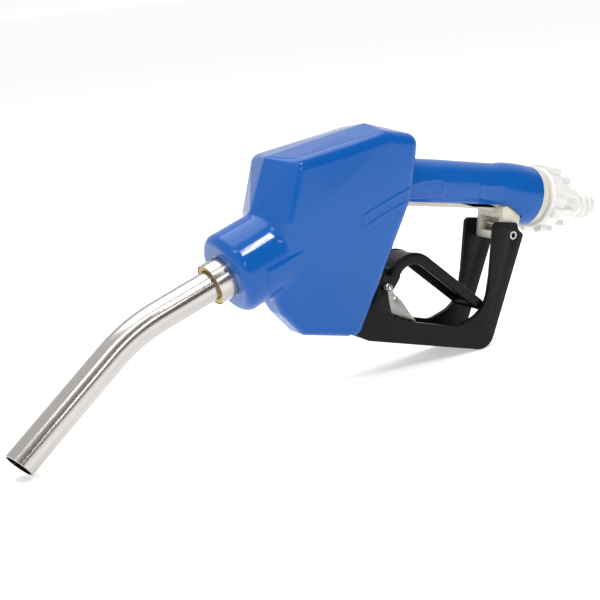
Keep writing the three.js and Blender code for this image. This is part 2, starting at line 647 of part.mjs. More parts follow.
function holdOpenClip() {
  const [x, z] = CLIP_PIVOT;
  const plate = rounded([[x - 2.4, z - 1, 0.8], [x + 1.6, z - 9.5, 1], [x + 3.1, z - 16, 1.2],
    [x + 7.6, z - 17.8, 0],
    [x + 24.6, z - 23.6, 0.6], [x + 25.6, z - 22.6, 0.6], [x + 19, z - 16.2, 1], [x + 11.9, z - 8.4, 0],
    [x + 5.5, z - 3.8, 1], [x + 2.2, z + 1.6, 0.8]]);
  const sides = [[-10.4, -9], [9, 10.4]].map(([y0, y1]) =>
    join(slab(plate, y0, y1), crossRod(CLIP_PIVOT, 3, y0, y1)));
  const bridge = slab([[x + 4.4, z - 15.6], [x + 8, z - 17], [x + 8.4, z - 15.7], [x + 4.8, z - 14.3]],
    -9.5, 9.5);
  const peep = crossRod([x + 7, z - 6.9], 1.1, -12, 12, 8);
  return cut(join(...sides, bridge), crossRod(CLIP_PIVOT, 1.8, -20, 20, 16), peep);
}

function clipPin() {
  const shank = crossRod(CLIP_PIVOT, 1.5, -13, 11.6, 16);
  const heads = [crossRod(CLIP_PIVOT, 2.4, 10.7, 11.6, 16)];
  return join(shank, ...heads);
}

function clipSpring() {
  const axis = new THREE.Matrix4().makeRotationZ(-Math.PI / 2).setPosition(CLIP_PIVOT[0],
    0, CLIP_PIVOT[1]);
  return spring(axis, 10.6, 12.9, 2.3, 0.42, 1.6);
}

// ---------------------------------------------------------------- guard

function leverGuard() {
  const corners = [[-26.3, -23.5, 3.5], [-6.8, -23.5, 2.5], [-4.6, -28.2, 0.5], [0.3, -31.5, 1.5],
    [...HEEL, HEEL_RADIUS], [-122.3, -102, 8], [-131.6, -98.6, 2], [-137, -91, 1], [-137, -88, 1],
    [-124, -80.5, 2],
    [-111.2, -67.5, 1.5], [-109.2, -75.6, 3], [-105.5, -86.5, 7], [-89, -90.4, 8], [-50, -94.8, 14],
    [-27, -84, 22],
    [-25.6, -60, 4]];
  const plate = rounded(corners);
  const floorLine = [[-134, -94.6], [-131.2, -98.5], [-122.3, -102], [-100, -104.1], [-60, -107.9],
    [HEEL[0] - HEEL_RADIUS - 1.2, HEEL[1] + 1.2]];
  const heelCentre = [HEEL[0] - HEEL_RADIUS - 0.4, HEEL[1] + HEEL_RADIUS + 1.3];
  for (let i = 1; i <= 5; i += 1) {
    const angle = rad(-95 + 80 * i / 5);
    floorLine.push([heelCentre[0] + HEEL_RADIUS * Math.cos(angle),
      heelCentre[1] + HEEL_RADIUS * Math.sin(angle)]);
  }
  const inside = GUARD_HALF_WIDTH - GUARD_WALL;
  const outerBlock = slab(plate, -GUARD_HALF_WIDTH, GUARD_HALF_WIDTH);
  const floorTop = strip(floorLine, -GUARD_WALL, 0).slice(0, floorLine.length);
  const channel = slab([...floorTop, [20, floorTop[floorTop.length - 1][1]], [20, 0], [-134, 0]],
    -inside, inside);
  const front = slab([[-150, -60], [-150, -88], [-134.5, -88], [-134.5, -60]], -inside, inside);
  const tongue = slab([[-158, TONGUE_TOP], [-158, TONGUE_TOP - TONGUE_THICKNESS],
    [-137, TONGUE_TOP - TONGUE_THICKNESS], [-134, -94.6], [-131.5, -94.6], [-133.5, TONGUE_TOP]],
    -12, 12);
  const holes = [-1, 1].map((side) => rodBetween([-148, side * 7, -100], [-148, side * 7, -80], 1.9));
  return cut(join(cut(outerBlock, channel, front), tongue), crossRod(GUARD_PIN, GUARD_PIN_RADIUS + GAP,
    -20, 20),
    ...holes);
}

function guardPin() {
  const half = GUARD_HALF_WIDTH + 0.3;
  const tube = cut(crossRod(GUARD_PIN, GUARD_PIN_RADIUS, -half, half, 20), crossRod(GUARD_PIN, 1.7,
    -30, 30));
  return tube;
}

function guardScrew(side) {
  const axis = line([-148, TONGUE_TOP - TONGUE_THICKNESS], 90);
  return turned(shifted(axis, side * 7, 0), [[-2.3, 0], [-2.3, 2.6], [-1.8, 3.1], [-0.3, 3.1],
    [-0.3, 1.5],
    [12, 1.5], [12, 0]], 12);
}

const lugDowel = () => crossRod([-13, -26.5], 1.6, -11.6, 11.6, 16);

// ---------------------------------------------------------------- hose end

function unionNut() {
  const base = turned(inletLine, [[RING_END + GAP, SPIGOT_RADIUS + 0.4], [RING_END + GAP, 20.5],
    [11, 21.3],
    [21, 21.3], [23, 16], [34, 15.2], [NUT_END, 13.8], [NUT_END, 9.9], [29.3, 9.9],
    [29.3, SPIGOT_RADIUS + 0.4],
    [RING_END + GAP, SPIGOT_RADIUS + 0.4]], 20);
  const lugs = [];
  for (let k = 0; k < NUT_LUGS; k += 1) {
    const turn = new THREE.Matrix4().makeRotationX(2 * Math.PI * (k + 0.5) / NUT_LUGS);
    const place = inletLine.clone().multiply(turn);
    lugs.push(boxOn(place, [RING_END + 2, 21.8], [-3.6, 3.6], [18, 24.6]));
    lugs.push(boxOn(place, [18, 34.5], [-2.8, 2.8], [14.6, 19]));
  }
  return join(base, ...lugs);
}

function hoseTail() {
  const profile = [[25.6, TAIL_BORE], [25.6, 13.2], [29, 13.2], [29, 9.5], [38, 9.5], [38, 8.4]];
  const pitch = (TAIL_END - 39) / BARBS;
  for (let i = 0; i < BARBS; i += 1) {
    const start = 39 + i * pitch;
    profile.push([start, 8.4], [start + 0.6, 9.8], [start + pitch - 0.8, 8.4]);
  }
  profile.push([TAIL_END, 8.2], [TAIL_END, TAIL_BORE], [25.6, TAIL_BORE]);
  return turned(inletLine, profile, 20);
}

const hoseGasket = () => ringOn(inletLine, 23.3, 25.3, TAIL_BORE + 1, 12.8);

const strainer = () => turned(inletLine, [[SPIGOT_END + 0.2, 6.8], [SPIGOT_END + 0.2, 12.6],
  [23, 12.6], [23, 6.2],
  [6, 6.2], [3.5, 3], [3.5, 0], [2.9, 0], [2.9, 3.4], [5.6, 6.8], [SPIGOT_END + 0.2, 6.8]].reverse());

// ---------------------------------------------------------------- assembly

const BLUE = [0x2f62c8, 0.18, 0];
const IVORY = [0xe9e6da, 0.45, 0];
const WHITE = [0xf4f4f0, 0.4, 0];
const BLACK = [0x1c1c1e, 0.5, 0];
const STEEL = [0xb9b4ae, 0.3, 1];
const BRASS = [0xb8963f, 0.35, 1];
const RUBBER = [0x151515, 0.8, 0];

const nozzle = new THREE.Group();

function add(name, body, [color, roughness, metalness]) {
  const mesh = new THREE.Mesh(geometryOf(body), new THREE.MeshStandardMaterial({ color, roughness,
    metalness }));
  mesh.name = name;
  nozzle.add(mesh);
}

add("splash_cover", splashCover(), BLUE);
add("valve_body", valveBody(), IVORY);
add("spout_tube", spoutTube(), STEEL);
add("vent_tube", ventTube(), STEEL);
add("spout_collar", spoutCollar(), STEEL);
add("spout_retaining_ring", retainingRing(), BRASS);
add("spout_seal", spoutSeal(), RUBBER);
add("check_valve_seat", checkSeat(), STEEL);
add("check_valve_poppet", checkPoppet(), WHITE);
add("check_valve_spring", checkSpring(), STEEL);
add("valve_stem", valveStem(), STEEL);
add("stem_guide_bush", stemGuide(), BRASS);
add("stem_gland", stemGland(), WHITE);
add("stem_seal", stemSeal(), RUBBER);
add("main_valve_seat", mainSeat(), STEEL);
add("main_valve_seal", mainSeal(), RUBBER);
add("main_poppet", mainPoppet(), WHITE);
add("main_spring", mainSpring(), STEEL);
add("valve_bonnet", valveBonnet(), WHITE);
add("diaphragm", diaphragm(), RUBBER);
add("diaphragm_cap", diaphragmCap(), WHITE);
screwPlaces().forEach((place, i) => add(`cap_screw_${i + 1}`, capScrew(place), STEEL));
add("diaphragm_pin", diaphragmPin(), STEEL);
add("diaphragm_spring", diaphragmSpring(), STEEL);
add("latch_shaft", latchShaft(), STEEL);
add("latch_roller_near", latchRoller(-1), STEEL);
add("latch_roller_far", latchRoller(1), STEEL);
add("latch_spring", latchSpring(), STEEL);
add("hand_lever", handLever(), BLACK);
add("lever_pivot_pin", leverPin(), STEEL);
add("hold_open_clip", holdOpenClip(), STEEL);
add("clip_pin", clipPin(), STEEL);
add("clip_spring", clipSpring(), STEEL);
add("lever_guard", leverGuard(), BLACK);
add("guard_pin", guardPin(), STEEL);
add("guard_screw_near", guardScrew(-1), STEEL);
add("guard_screw_far", guardScrew(1), STEEL);
add("lug_dowel", lugDowel(), STEEL);
add("union_nut", unionNut(), WHITE);
add("hose_tail", hoseTail(), WHITE);
add("hose_gasket", hoseGasket(), RUBBER);
add("inlet_strainer", strainer(), STEEL);

// Turn the nozzle until the lowest edge of the spout's mouth and the guard's heel are level.
const tip = pointOn(line(pointOn(noseLine, -SPOUT_TO_BEND), SPOUT_TIP_SLOPE), -SPOUT_FROM_BEND,
  -SPOUT_RADIUS);
const heelCentreX = HEEL[0] - HEEL_RADIUS;
const heelCentreZ = HEEL[1] + HEEL_RADIUS;
const run = heelCentreX - tip[0];
const rise = tip[1] - heelCentreZ;
nozzle.rotation.y = Math.asin(-HEEL_RADIUS / Math.hypot(run, rise)) - Math.atan2(rise, run);

const part = new THREE.Group();
part.add(nozzle);
part.updateMatrixWorld(true);
const bounds = new THREE.Box3().setFromObject(part, true);
nozzle.position.set(-(bounds.min.x + bounds.max.x) / 2, 0, -bounds.min.z);

export default part;
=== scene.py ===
"""The looks of an automatic dispensing nozzle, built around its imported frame.

Shapes are drawn in millimetres in the nozzle's own axes: the origin is on the handle's axis, +X points
along the handle towards the hose, +Y to the far side and +Z up. ROW takes them to the row frame, in
metres, where the nozzle rests on its spout tip and the heel of its guard.
"""
import json
import math

import bmesh
import bpy
import numpy as np
from mathutils import Matrix, Vector
from mathutils.bvhtree import BVHTree


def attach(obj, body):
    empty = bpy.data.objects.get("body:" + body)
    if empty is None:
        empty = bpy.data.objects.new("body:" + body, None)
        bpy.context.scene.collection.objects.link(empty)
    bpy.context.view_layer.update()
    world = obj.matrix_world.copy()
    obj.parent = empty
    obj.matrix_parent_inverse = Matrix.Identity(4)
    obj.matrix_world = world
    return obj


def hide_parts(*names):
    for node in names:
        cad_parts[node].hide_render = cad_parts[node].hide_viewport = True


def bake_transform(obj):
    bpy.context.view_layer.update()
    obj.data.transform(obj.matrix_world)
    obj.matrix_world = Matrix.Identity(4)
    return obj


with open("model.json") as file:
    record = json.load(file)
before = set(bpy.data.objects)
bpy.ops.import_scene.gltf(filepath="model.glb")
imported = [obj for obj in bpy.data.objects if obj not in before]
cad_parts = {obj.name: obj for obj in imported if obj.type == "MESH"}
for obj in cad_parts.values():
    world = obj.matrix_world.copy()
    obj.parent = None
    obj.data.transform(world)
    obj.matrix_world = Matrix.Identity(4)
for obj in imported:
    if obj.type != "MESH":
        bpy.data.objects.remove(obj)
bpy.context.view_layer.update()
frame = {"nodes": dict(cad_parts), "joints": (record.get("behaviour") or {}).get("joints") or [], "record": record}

# ---------------------------------------------------------------- driving dimensions, millimetres

COVER_WALL = 2.0
BODY_INSET = COVER_WALL + 0.6
BODY_VOXEL = 3.0
SKIN_VOXEL = 0.85
SKIN_INSET = 0.05

HEAD_SIDE = [(-194.5, 11, 32), (-199.3, -25.2, 31), (-197.3, -66, 17), (-184, -85, 13), (-167, -98.9, 13),
             (-129.4, -99, 20.5), (-104.2, -9.8, 28), (-103.6, 31.4, 31), (-129.6, 32.4, 32)]
HEAD_RIDGE = [(-199.5, 11), (-207, -23), (-204.5, -53), (-100.5, 25.5), (-100, 32.5), (-128.5, 35.8)]
HEAD_ROUNDING = 7.5
RIDGE_ROUNDING = 3.0

NOSE = (-219.6, -61.2)
NOSE_SLOPE = 28.8
NOSE_RADIUS = 26.0
NOSE_FRONT = 2.0
NOSE_LENGTH = 62.0
NOSE_RIM = 6.0
NOSE_FILLET = 4.0

SPOUT_RADIUS = 9.5
SPOUT_WALL = 1.0
SPOUT_INSIDE = 11
SPOUT_TIP_SLOPE = 49.0
SPOUT_TO_BEND = 69.3
SPOUT_FROM_BEND = 100.4
SPOUT_BEND_RADIUS = 100.0
MOUTH_SKEW = math.radians(9)
COLLAR_RADIUS = 13.4
COLLAR_OUT = 13.0

HANDLE = [(-114, 0, 15.6), (-60, 0, 15.6), (-30, 0, 15.4), (-20, -0.6, 16), (-12, -1.9, 18.2),
          (-4, -4, 20.3), (4, -5.4, 21.2), (11.2, -6.2, 21.2)]
HANDLE_FILLET = 7.0
CROWN = 3.0
CROWN_REACH = 42.0
CROWN_EDGE = [(-103.6, 31.4), (-129.6, 32.4), (-194.5, 11), (-199.3, -25.2)]
PANEL_OUTLINES = [[(-107, -2), (-119, -7.4), (-129.2, -13.1), (-142, -20.2), (-140.4, -28), (-128.5, -20.2),
                   (-118.1, -15), (-106, -10), (-92, -9.4), (-84.8, -7.8), (-71.1, -6.4), (-72.4, 2.1),
                   (-75.6, 3.2), (-87.4, 2.2), (-94.2, 0.2), (-107, -2)],
                  [(-38.5, -8.5), (-40.2, 0.9), (-23, 0.2)]]
PANEL_LINE = 1.15
PANEL_HEIGHT = 0.6
LEDGE_START = (-208.5, -55.2)
LEDGE_SLOPE = 27.0
LEDGE_LENGTH = 44.0
LEDGE_HEIGHT = 1.1
INLET = (11.2, -6.2)
INLET_TILT = 5.0
SPIGOT_RADIUS = 13.6
RING_END = 8.7
NUT_END = 36.0
NUT_LUGS = 8
TAIL_END = 63.0
TAIL_BORE = 6.8
BARBS = 4
BARBS_START = 39.0

GUARD_HALF_WIDTH = 16.5
GUARD_WALL = 3.0
GUARD_PIN = (-8.8, -32.2)
GUARD_PIN_RADIUS = 3.0
HEEL = (-20.1, -111.9)
HEEL_RADIUS = 12.0
TONGUE_TOP = -87.8
TONGUE_THICKNESS = 2.6

LEVER_PIVOT = (-117, -84)
LEVER_HALF_WIDTH = 12.8
LEVER_DEPTH = 7.5
LEVER_ARM = 3.6
ARCH_CENTRE = (-87, -65.5)
ARCH_RADIUS = 20.2
ARCH_END = 165.0
ARCH_STEPS = 24
BAR_SLOPE = -30.5
BAR_LENGTH = 57.0
LEG_HALF_WIDTH = 8.5
LEG_TOP = (-101.8, -61)
LATCH_HALF_WIDTH = 6.0
CLIP_PIVOT = (-106.5, -68.6)
LUG_DOWEL = (-13, -26.5)

MM = 0.001

# ---------------------------------------------------------------- from the nozzle's axes to the row frame


def joint(name):
    return next(j for j in frame["joints"] if j["name"] == name)


def row_matrix():
    """The row frame's matrix, from the inlet axis that the union nut turns about."""
    nut = joint("nut_turn")
    pitch = math.atan2(-nut["axis"][2], nut["axis"][0]) - math.radians(INLET_TILT)
    return (Matrix.Translation(nut["pos_m"]) @ Matrix.Rotation(pitch, 4, "Y") @ Matrix.Scale(MM, 4)
            @ Matrix.Translation((-INLET[0], 0, -INLET[1])))


ROW = row_matrix()


def line(point, slope):
    """The matrix of a line in the X-Z plane: local +X runs along it, local +Y stays +Y."""
    return Matrix.Translation((point[0], 0, point[1])) @ Matrix.Rotation(-math.radians(slope), 4, "Y")


NOSE_LINE = line(NOSE, NOSE_SLOPE)
INLET_LINE = line(INLET, -INLET_TILT)

# ---------------------------------------------------------------- materials


def principled(name, roughness, metallic=0.0, coat=0.0, coat_roughness=0.03, ior=1.5):
    """A material with one Principled shader; returns it with its tree and shader."""
    material = bpy.data.materials.new(name)
    material.use_nodes = True
    tree = material.node_tree
    shader = tree.nodes["Principled BSDF"]
    shader.inputs["Roughness"].default_value = roughness
    shader.inputs["Metallic"].default_value = metallic
    shader.inputs["Coat Weight"].default_value = coat
    shader.inputs["Coat Roughness"].default_value = coat_roughness
    shader.inputs["IOR"].default_value = ior
    return material, tree, shader


def coordinates(tree, source="Object", scale=(1, 1, 1)):
    """Texture coordinates, stretched; source is Object or the name of a vector attribute."""
    stretch = tree.nodes.new("ShaderNodeMapping")
    stretch.inputs["Scale"].default_value = scale
    if source == "Object":
        place = tree.nodes.new("ShaderNodeTexCoord").outputs["Object"]
    else:
        attribute = tree.nodes.new("ShaderNodeAttribute")
        attribute.attribute_name = source
        place = attribute.outputs["Vector"]
    tree.links.new(place, stretch.inputs["Vector"])
    return stretch.outputs["Vector"]


def noise(tree, place, scale, detail=3.0, roughness=0.5):
    node = tree.nodes.new("ShaderNodeTexNoise")
    node.inputs["Scale"].default_value = scale
    node.inputs["Detail"].default_value = detail
    node.inputs["Roughness"].default_value = roughness
    tree.links.new(place, node.inputs["Vector"])
    return node.outputs["Fac"]


def blend_of(tree, factor, low, high, start=0.3, end=0.7):
    """A ramp from one value or colour to another as factor goes from start to end."""
    ramp = tree.nodes.new("ShaderNodeValToRGB")
    ramp.color_ramp.elements[0].position = start
    ramp.color_ramp.elements[1].position = end
    for element, value in zip(ramp.color_ramp.elements, (low, high)):
        element.color = (*value, 1) if isinstance(value, tuple) else (value, value, value, 1)
    tree.links.new(factor, ramp.inputs["Fac"])
    return ramp.outputs["Color"]


def bumps(tree, shader, layers):
    """Chains bump nodes into the shader's normal; each layer is (height, distance in metres, strength)."""
    last = None
    for height, distance, strength in layers:
        bump = tree.nodes.new("ShaderNodeBump")
        bump.inputs["Distance"].default_value = distance
        bump.inputs["Strength"].default_value = strength
        tree.links.new(height, bump.inputs["Height"])
        if last:
            tree.links.new(last, bump.inputs["Normal"])
        last = bump.outputs["Normal"]
    tree.links.new(last, shader.inputs["Normal"])


def blue_cover():
    """Dip-moulded PVC: deep glossy blue, with soft waves, faint scuffs and a slight change of tint."""
    material, tree, shader = principled("blue_pvc", 0.14, coat=0.05, coat_roughness=0.04, ior=1.36)
    place = coordinates(tree)
    tint = noise(tree, place, 9, 2)
    scuffs = noise(tree, place, 180, 4, 0.6)
    blue = blend_of(tree, tint, (0.003, 0.088, 0.362), (0.006, 0.102, 0.405))
    tree.links.new(blue, shader.inputs["Base Color"])
    tree.links.new(blend_of(tree, scuffs, 0.1, 0.16), shader.inputs["Roughness"])
    waves = noise(tree, place, 22, 1.5, 0.4)
    dimples = noise(tree, place, 90, 1)
    bumps(tree, shader, [(waves, 0.0022, 0.4), (dimples, 0.0002, 0.25)])
    return material


def moulded_plastic(name, light, dark, roughness, grain=900.0, depth=0.12, ior=1.5):
    """A moulded plastic with a slight change of tint and a fine grain."""
    material, tree, shader = principled(name, roughness, ior=ior)
    place = coordinates(tree)
    tint = noise(tree, place, 45, 4, 0.6)
    tree.links.new(blend_of(tree, tint, dark, light), shader.inputs["Base Color"])
    patches = noise(tree, place, 160, 3)
    tree.links.new(blend_of(tree, patches, roughness - 0.06, roughness + 0.07), shader.inputs["Roughness"])
    fine = noise(tree, place, grain, 3)
    bumps(tree, shader, [(fine, 0.0002, depth)])
    return material


def brushed_steel(name, source, brushed, light=(0.66, 0.63, 0.59), dark=(0.42, 0.39, 0.36), roughness=0.24):
    """Stainless steel with fine brush lines across the stretched axis and faint handling marks."""
    material, tree, shader = principled(name, roughness, metallic=1.0)
    place = coordinates(tree, source, brushed)
    lines = noise(tree, place, 1.0, 5, 0.7)
    marks = noise(tree, coordinates(tree), 90, 3)
    tree.links.new(blend_of(tree, lines, dark, light, 0.35, 0.65), shader.inputs["Base Color"])
    tree.links.new(blend_of(tree, marks, roughness - 0.05, roughness + 0.08), shader.inputs["Roughness"])
    bumps(tree, shader, [(lines, 0.00012, 0.35)])
    return material


def spout_steel():
    """Polished tube: fine rings from the belt, long faint streaks, and painted shade: the bore is coloured
    near-black.
    """
    material, tree, shader = principled("spout_steel", 0.17, metallic=1.0)
    rings = noise(tree, coordinates(tree, "flow", (5200, 60, 60)), 1.0, 3, 0.6)
    streaks = noise(tree, coordinates(tree, "flow", (6, 900, 900)), 1.0, 3, 0.6)
    tint = blend_of(tree, streaks, (0.45, 0.425, 0.4), (0.58, 0.555, 0.53))
    # Painted shade: points nearer the axis than the outer wall, the bore, get a near-black base colour in place of
    # the steel's tint.
    reach = tree.nodes.new("ShaderNodeVectorMath")
    reach.operation = "LENGTH"
    tree.links.new(coordinates(tree, "flow", (0, 1, 1)), reach.inputs[0])
    bore_shade_mask = tree.nodes.new("ShaderNodeMath")
    bore_shade_mask.operation = "LESS_THAN"
    bore_shade_mask.inputs[1].default_value = (SPOUT_RADIUS - 0.6) * MM
    tree.links.new(reach.outputs["Value"], bore_shade_mask.inputs[0])
    mix = tree.nodes.new("ShaderNodeMix")
    mix.data_type = "RGBA"
    tree.links.new(bore_shade_mask.outputs[0], mix.inputs["Factor"])
    tree.links.new(tint, mix.inputs[6])
    mix.inputs[7].default_value = (0.012, 0.011, 0.01, 1)
    tree.links.new(mix.outputs[2], shader.inputs["Base Color"])
    tree.links.new(blend_of(tree, rings, 0.16, 0.27), shader.inputs["Roughness"])
    bumps(tree, shader, [(rings, 0.00005, 0.25), (streaks, 0.0001, 0.12)])
    return material


def brass():
    """Yellow-passivated ring with fine knurl-like marks."""
    material, tree, shader = principled("brass", 0.38, metallic=0.85)
    place = coordinates(tree)
    tint = noise(tree, place, 300, 3)
    tree.links.new(blend_of(tree, tint, (0.26, 0.17, 0.035), (0.5, 0.36, 0.1)), shader.inputs["Base Color"])
    bumps(tree, shader, [(noise(tree, place, 1200, 2), 0.0002, 0.3)])
    return material


def rubber():
    material, tree, shader = principled("black_rubber", 0.7)
    place = coordinates(tree)
    tint = noise(tree, place, 200, 3)
    black = blend_of(tree, tint, (0.012, 0.012, 0.012), (0.03, 0.03, 0.03))
    tree.links.new(black, shader.inputs["Base Color"])
    bumps(tree, shader, [(noise(tree, place, 1500, 2), 0.0001, 0.2)])
    return material


BLUE = blue_cover()
IVORY = moulded_plastic("ivory_plastic", (0.72, 0.68, 0.58), (0.62, 0.58, 0.48), 0.42)
WHITE = moulded_plastic("white_plastic", (0.8, 0.795, 0.77), (0.71, 0.7, 0.67), 0.38)
BLACK = moulded_plastic("black_plastic", (0.005, 0.005, 0.0053), (0.003, 0.003, 0.0032), 0.33,
                        grain=1500, depth=0.2, ior=1.25)
SPOUT_STEEL = spout_steel()
STEEL = brushed_steel("machined_steel", "Object", (900, 900, 900))
CLIP_STEEL = brushed_steel("clip_steel", "Object", (300, 300, 1400), (0.44, 0.42, 0.4), (0.2, 0.19, 0.18),
                           roughness=0.34)
BRASS = brass()
RUBBER = rubber()

SLOT_MATERIALS = {"cover_blue": BLUE, "body_ivory": IVORY, "white_plastic": WHITE, "black_plastic": BLACK,
                  "stainless": STEEL, "brass_ring": BRASS, "seal_rubber": RUBBER}


def dress_cad_nodes():
    """Gives every CAD node the material of its slot."""
    for entry in frame["record"]["subparts"]:
        data = frame["nodes"][entry["node"]].data
        data.materials.clear()
        data.materials.append(SLOT_MATERIALS[entry["material_slot"]])


dress_cad_nodes()

# ---------------------------------------------------------------- mesh tools, in nozzle millimetres


def fillet(corners, steps=5):
    """A closed outline with round corners; each corner is (x, z) or (x, z, radius)."""
    outline = []
    count = len(corners)
    for i, corner in enumerate(corners):
        here = Vector(corner[:2])
        radius = corner[2] if len(corner) > 2 else 0.0
        back = (Vector(corners[i - 1][:2]) - here).normalized()
        ahead = (Vector(corners[(i + 1) % count][:2]) - here).normalized()
        half = math.acos(max(-1.0, min(1.0, back.dot(ahead)))) / 2
        if radius == 0.0 or half > math.radians(89):
            outline.append(tuple(here))
            continue
        centre = here + (back + ahead).normalized() * radius / math.sin(half)
        start = here + back * radius / math.tan(half) - centre
        end = here + ahead * radius / math.tan(half) - centre
        turn = start.angle_signed(end)
        outline += [tuple(centre + Matrix.Rotation(-turn * k / steps, 2) @ start) for k in range(steps + 1)]
    return outline


def mesh_of(verts, faces, name="mesh"):
    mesh = bpy.data.meshes.new(name)
    mesh.from_pydata([tuple(v) for v in verts], [], faces)
    bm = bmesh.new()
    bm.from_mesh(mesh)
    bmesh.ops.remove_doubles(bm, verts=bm.verts, dist=1e-4)
    bmesh.ops.recalc_face_normals(bm, faces=bm.faces)
    bm.to_mesh(mesh)
    bm.free()
    return mesh


def slab(outline, y0, y1):
    """A flat outline in the X-Z plane, extruded from y0 to y1."""
    count = len(outline)
    verts = [(x, y, z) for y in (y0, y1) for x, z in outline]
    faces = [tuple(range(count)), tuple(range(2 * count - 1, count - 1, -1))]
    faces += [(i, (i + 1) % count, (i + 1) % count + count, i + count) for i in range(count)]
    return mesh_of(verts, faces)


def turned(matrix, profile, segments=72):
    """A closed ring of revolution about the line; the profile is a closed list of (along, radius)."""
    count = len(profile)
    verts = []
    for k in range(segments):
        angle = 2 * math.pi * k / segments
        verts += [matrix @ Vector((along, radius * math.cos(angle), radius * math.sin(angle)))
                  for along, radius in profile]
    faces = []
    for k in range(segments):
        a, b = k * count, (k + 1) % segments * count
        faces += [(a + i, a + (i + 1) % count, b + (i + 1) % count, b + i) for i in range(count)
                  if profile[i][1] > 0 or profile[(i + 1) % count][1] > 0]
    return mesh_of(verts, faces)


def swept(frames, section):
    """A closed section carried along frames, (place, across, up) each; both ends are capped."""
    count = len(section)
    verts = [place + across * y + up * z for place, across, up in frames for y, z in section]
    faces = [tuple(range(count)), tuple(range((len(frames) - 1) * count, len(frames) * count))[::-1]]
    for row in range(len(frames) - 1):
        a, b = row * count, (row + 1) * count
        faces += [(a + i, a + (i + 1) % count, b + (i + 1) % count, b + i) for i in range(count)]
    return mesh_of(verts, faces)


def rod_across(point, radius, y0, y1, segments=48, edge=0.0):
    """A rod along Y with its end edges broken by edge."""
    matrix = Matrix.Translation((point[0], 0, point[1])) @ Matrix.Rotation(math.pi / 2, 4, "Z")
    profile = [(y0, 0), (y0, radius - edge), (y0 + edge, radius),
               (y1 - edge, radius), (y1, radius - edge), (y1, 0)]
    if edge == 0.0:
        profile = [(y0, 0), (y0, radius), (y1, radius), (y1, 0)]
    return turned(matrix, profile, segments)


def object_of(mesh, name="scratch"):
    made = bpy.data.objects.new(name, mesh)
    bpy.context.scene.collection.objects.link(made)
    return made


def applied(obj):
    """The object's mesh with its modifiers applied; the object is removed."""
    bpy.context.view_layer.update()
    depsgraph = bpy.context.evaluated_depsgraph_get()
    mesh = bpy.data.meshes.new_from_object(obj.evaluated_get(depsgraph))
    bpy.data.objects.remove(obj)
    return mesh


def boolean(mesh, operation, *others):
    """mesh joined with, or cut by, each of the others."""
    obj = object_of(mesh)
    tools = [object_of(other, "tool") for other in others]
    for tool in tools:
        modifier = obj.modifiers.new("boolean", "BOOLEAN")
        modifier.operation = operation
        modifier.solver = "EXACT"
        modifier.material_mode = "TRANSFER"
        modifier.object = tool
    result = applied(obj)
    for tool in tools:
        bpy.data.objects.remove(tool)
    return result


def together(*meshes):
    """One mesh that holds several closed meshes side by side."""
    bm = bmesh.new()
    for mesh in meshes:
        bm.from_mesh(mesh)
    joined = bpy.data.meshes.new("together")
    bm.to_mesh(joined)
    bm.free()
    return joined


def rounded_edges(mesh, width, segments=3, angle=35.0):
    """The mesh with every edge sharper than angle turned round; width in millimetres."""
    obj = object_of(mesh)
    bevel = obj.modifiers.new("round", "BEVEL")
    bevel.width = width
    bevel.segments = segments
    bevel.limit_method = "ANGLE"
    bevel.angle_limit = math.radians(angle)
    bevel.use_clamp_overlap = True
    bevel.miter_outer = "MITER_ARC"
    return applied(obj)


def piece(name, mesh, body, material, nodes=(), sharp=30.0):
    """Places a mesh in the row frame as a named piece that rides on a body and stands for CAD nodes."""
    mesh.transform(ROW)
    mesh.materials.clear()
    mesh.materials.append(material)
    mesh.polygons.foreach_set("use_smooth", [True] * len(mesh.polygons))
    mesh.set_sharp_from_angle(angle=math.radians(sharp))
    made = object_of(mesh, name)
    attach(made, body)
    if nodes:
        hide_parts(*nodes)
    return made


# ---------------------------------------------------------------- the cover's smooth surface, as a field


def soft_min(first, second, reach):
    """A smooth minimum of two fields, each (distance, slope), with a fillet within reach of the seam."""
    (a, slope_a), (b, slope_b) = first, second
    share = np.clip(reach - np.abs(a - b), 0, None) / reach
    lower_share = np.where(a < b, 1 - share * share / 2, share * share / 2)[:, None]
    return np.minimum(a, b) - share ** 3 * reach / 6, slope_a * lower_share + slope_b * (1 - lower_share)


def sloped(field, p, step=0.05):
    """A plain field's distance at each point, with its slope."""
    slopes = np.empty_like(p)
    for axis in range(3):
        shift = np.zeros(3)
        shift[axis] = step
        slopes[:, axis] = (field(p + shift) - field(p - shift)) / (2 * step)
    return field(p), slopes


def corner_centres(outline, radius):
    """Corners of a convex outline moved in by a rounding radius: the centres of its round corners."""
    centres = []
    for i, corner in enumerate(outline):
        before, here = Vector(outline[i - 1][:2]), Vector(corner[:2])
        after = Vector(outline[(i + 1) % len(outline)][:2])
        inward = [Vector((-(b - a).y, (b - a).x)).normalized() for a, b in ((before, here), (here, after))]
        centres.append(here + (inward[0] + inward[1]) * radius / (1 + inward[0].dot(inward[1])))
    return centres


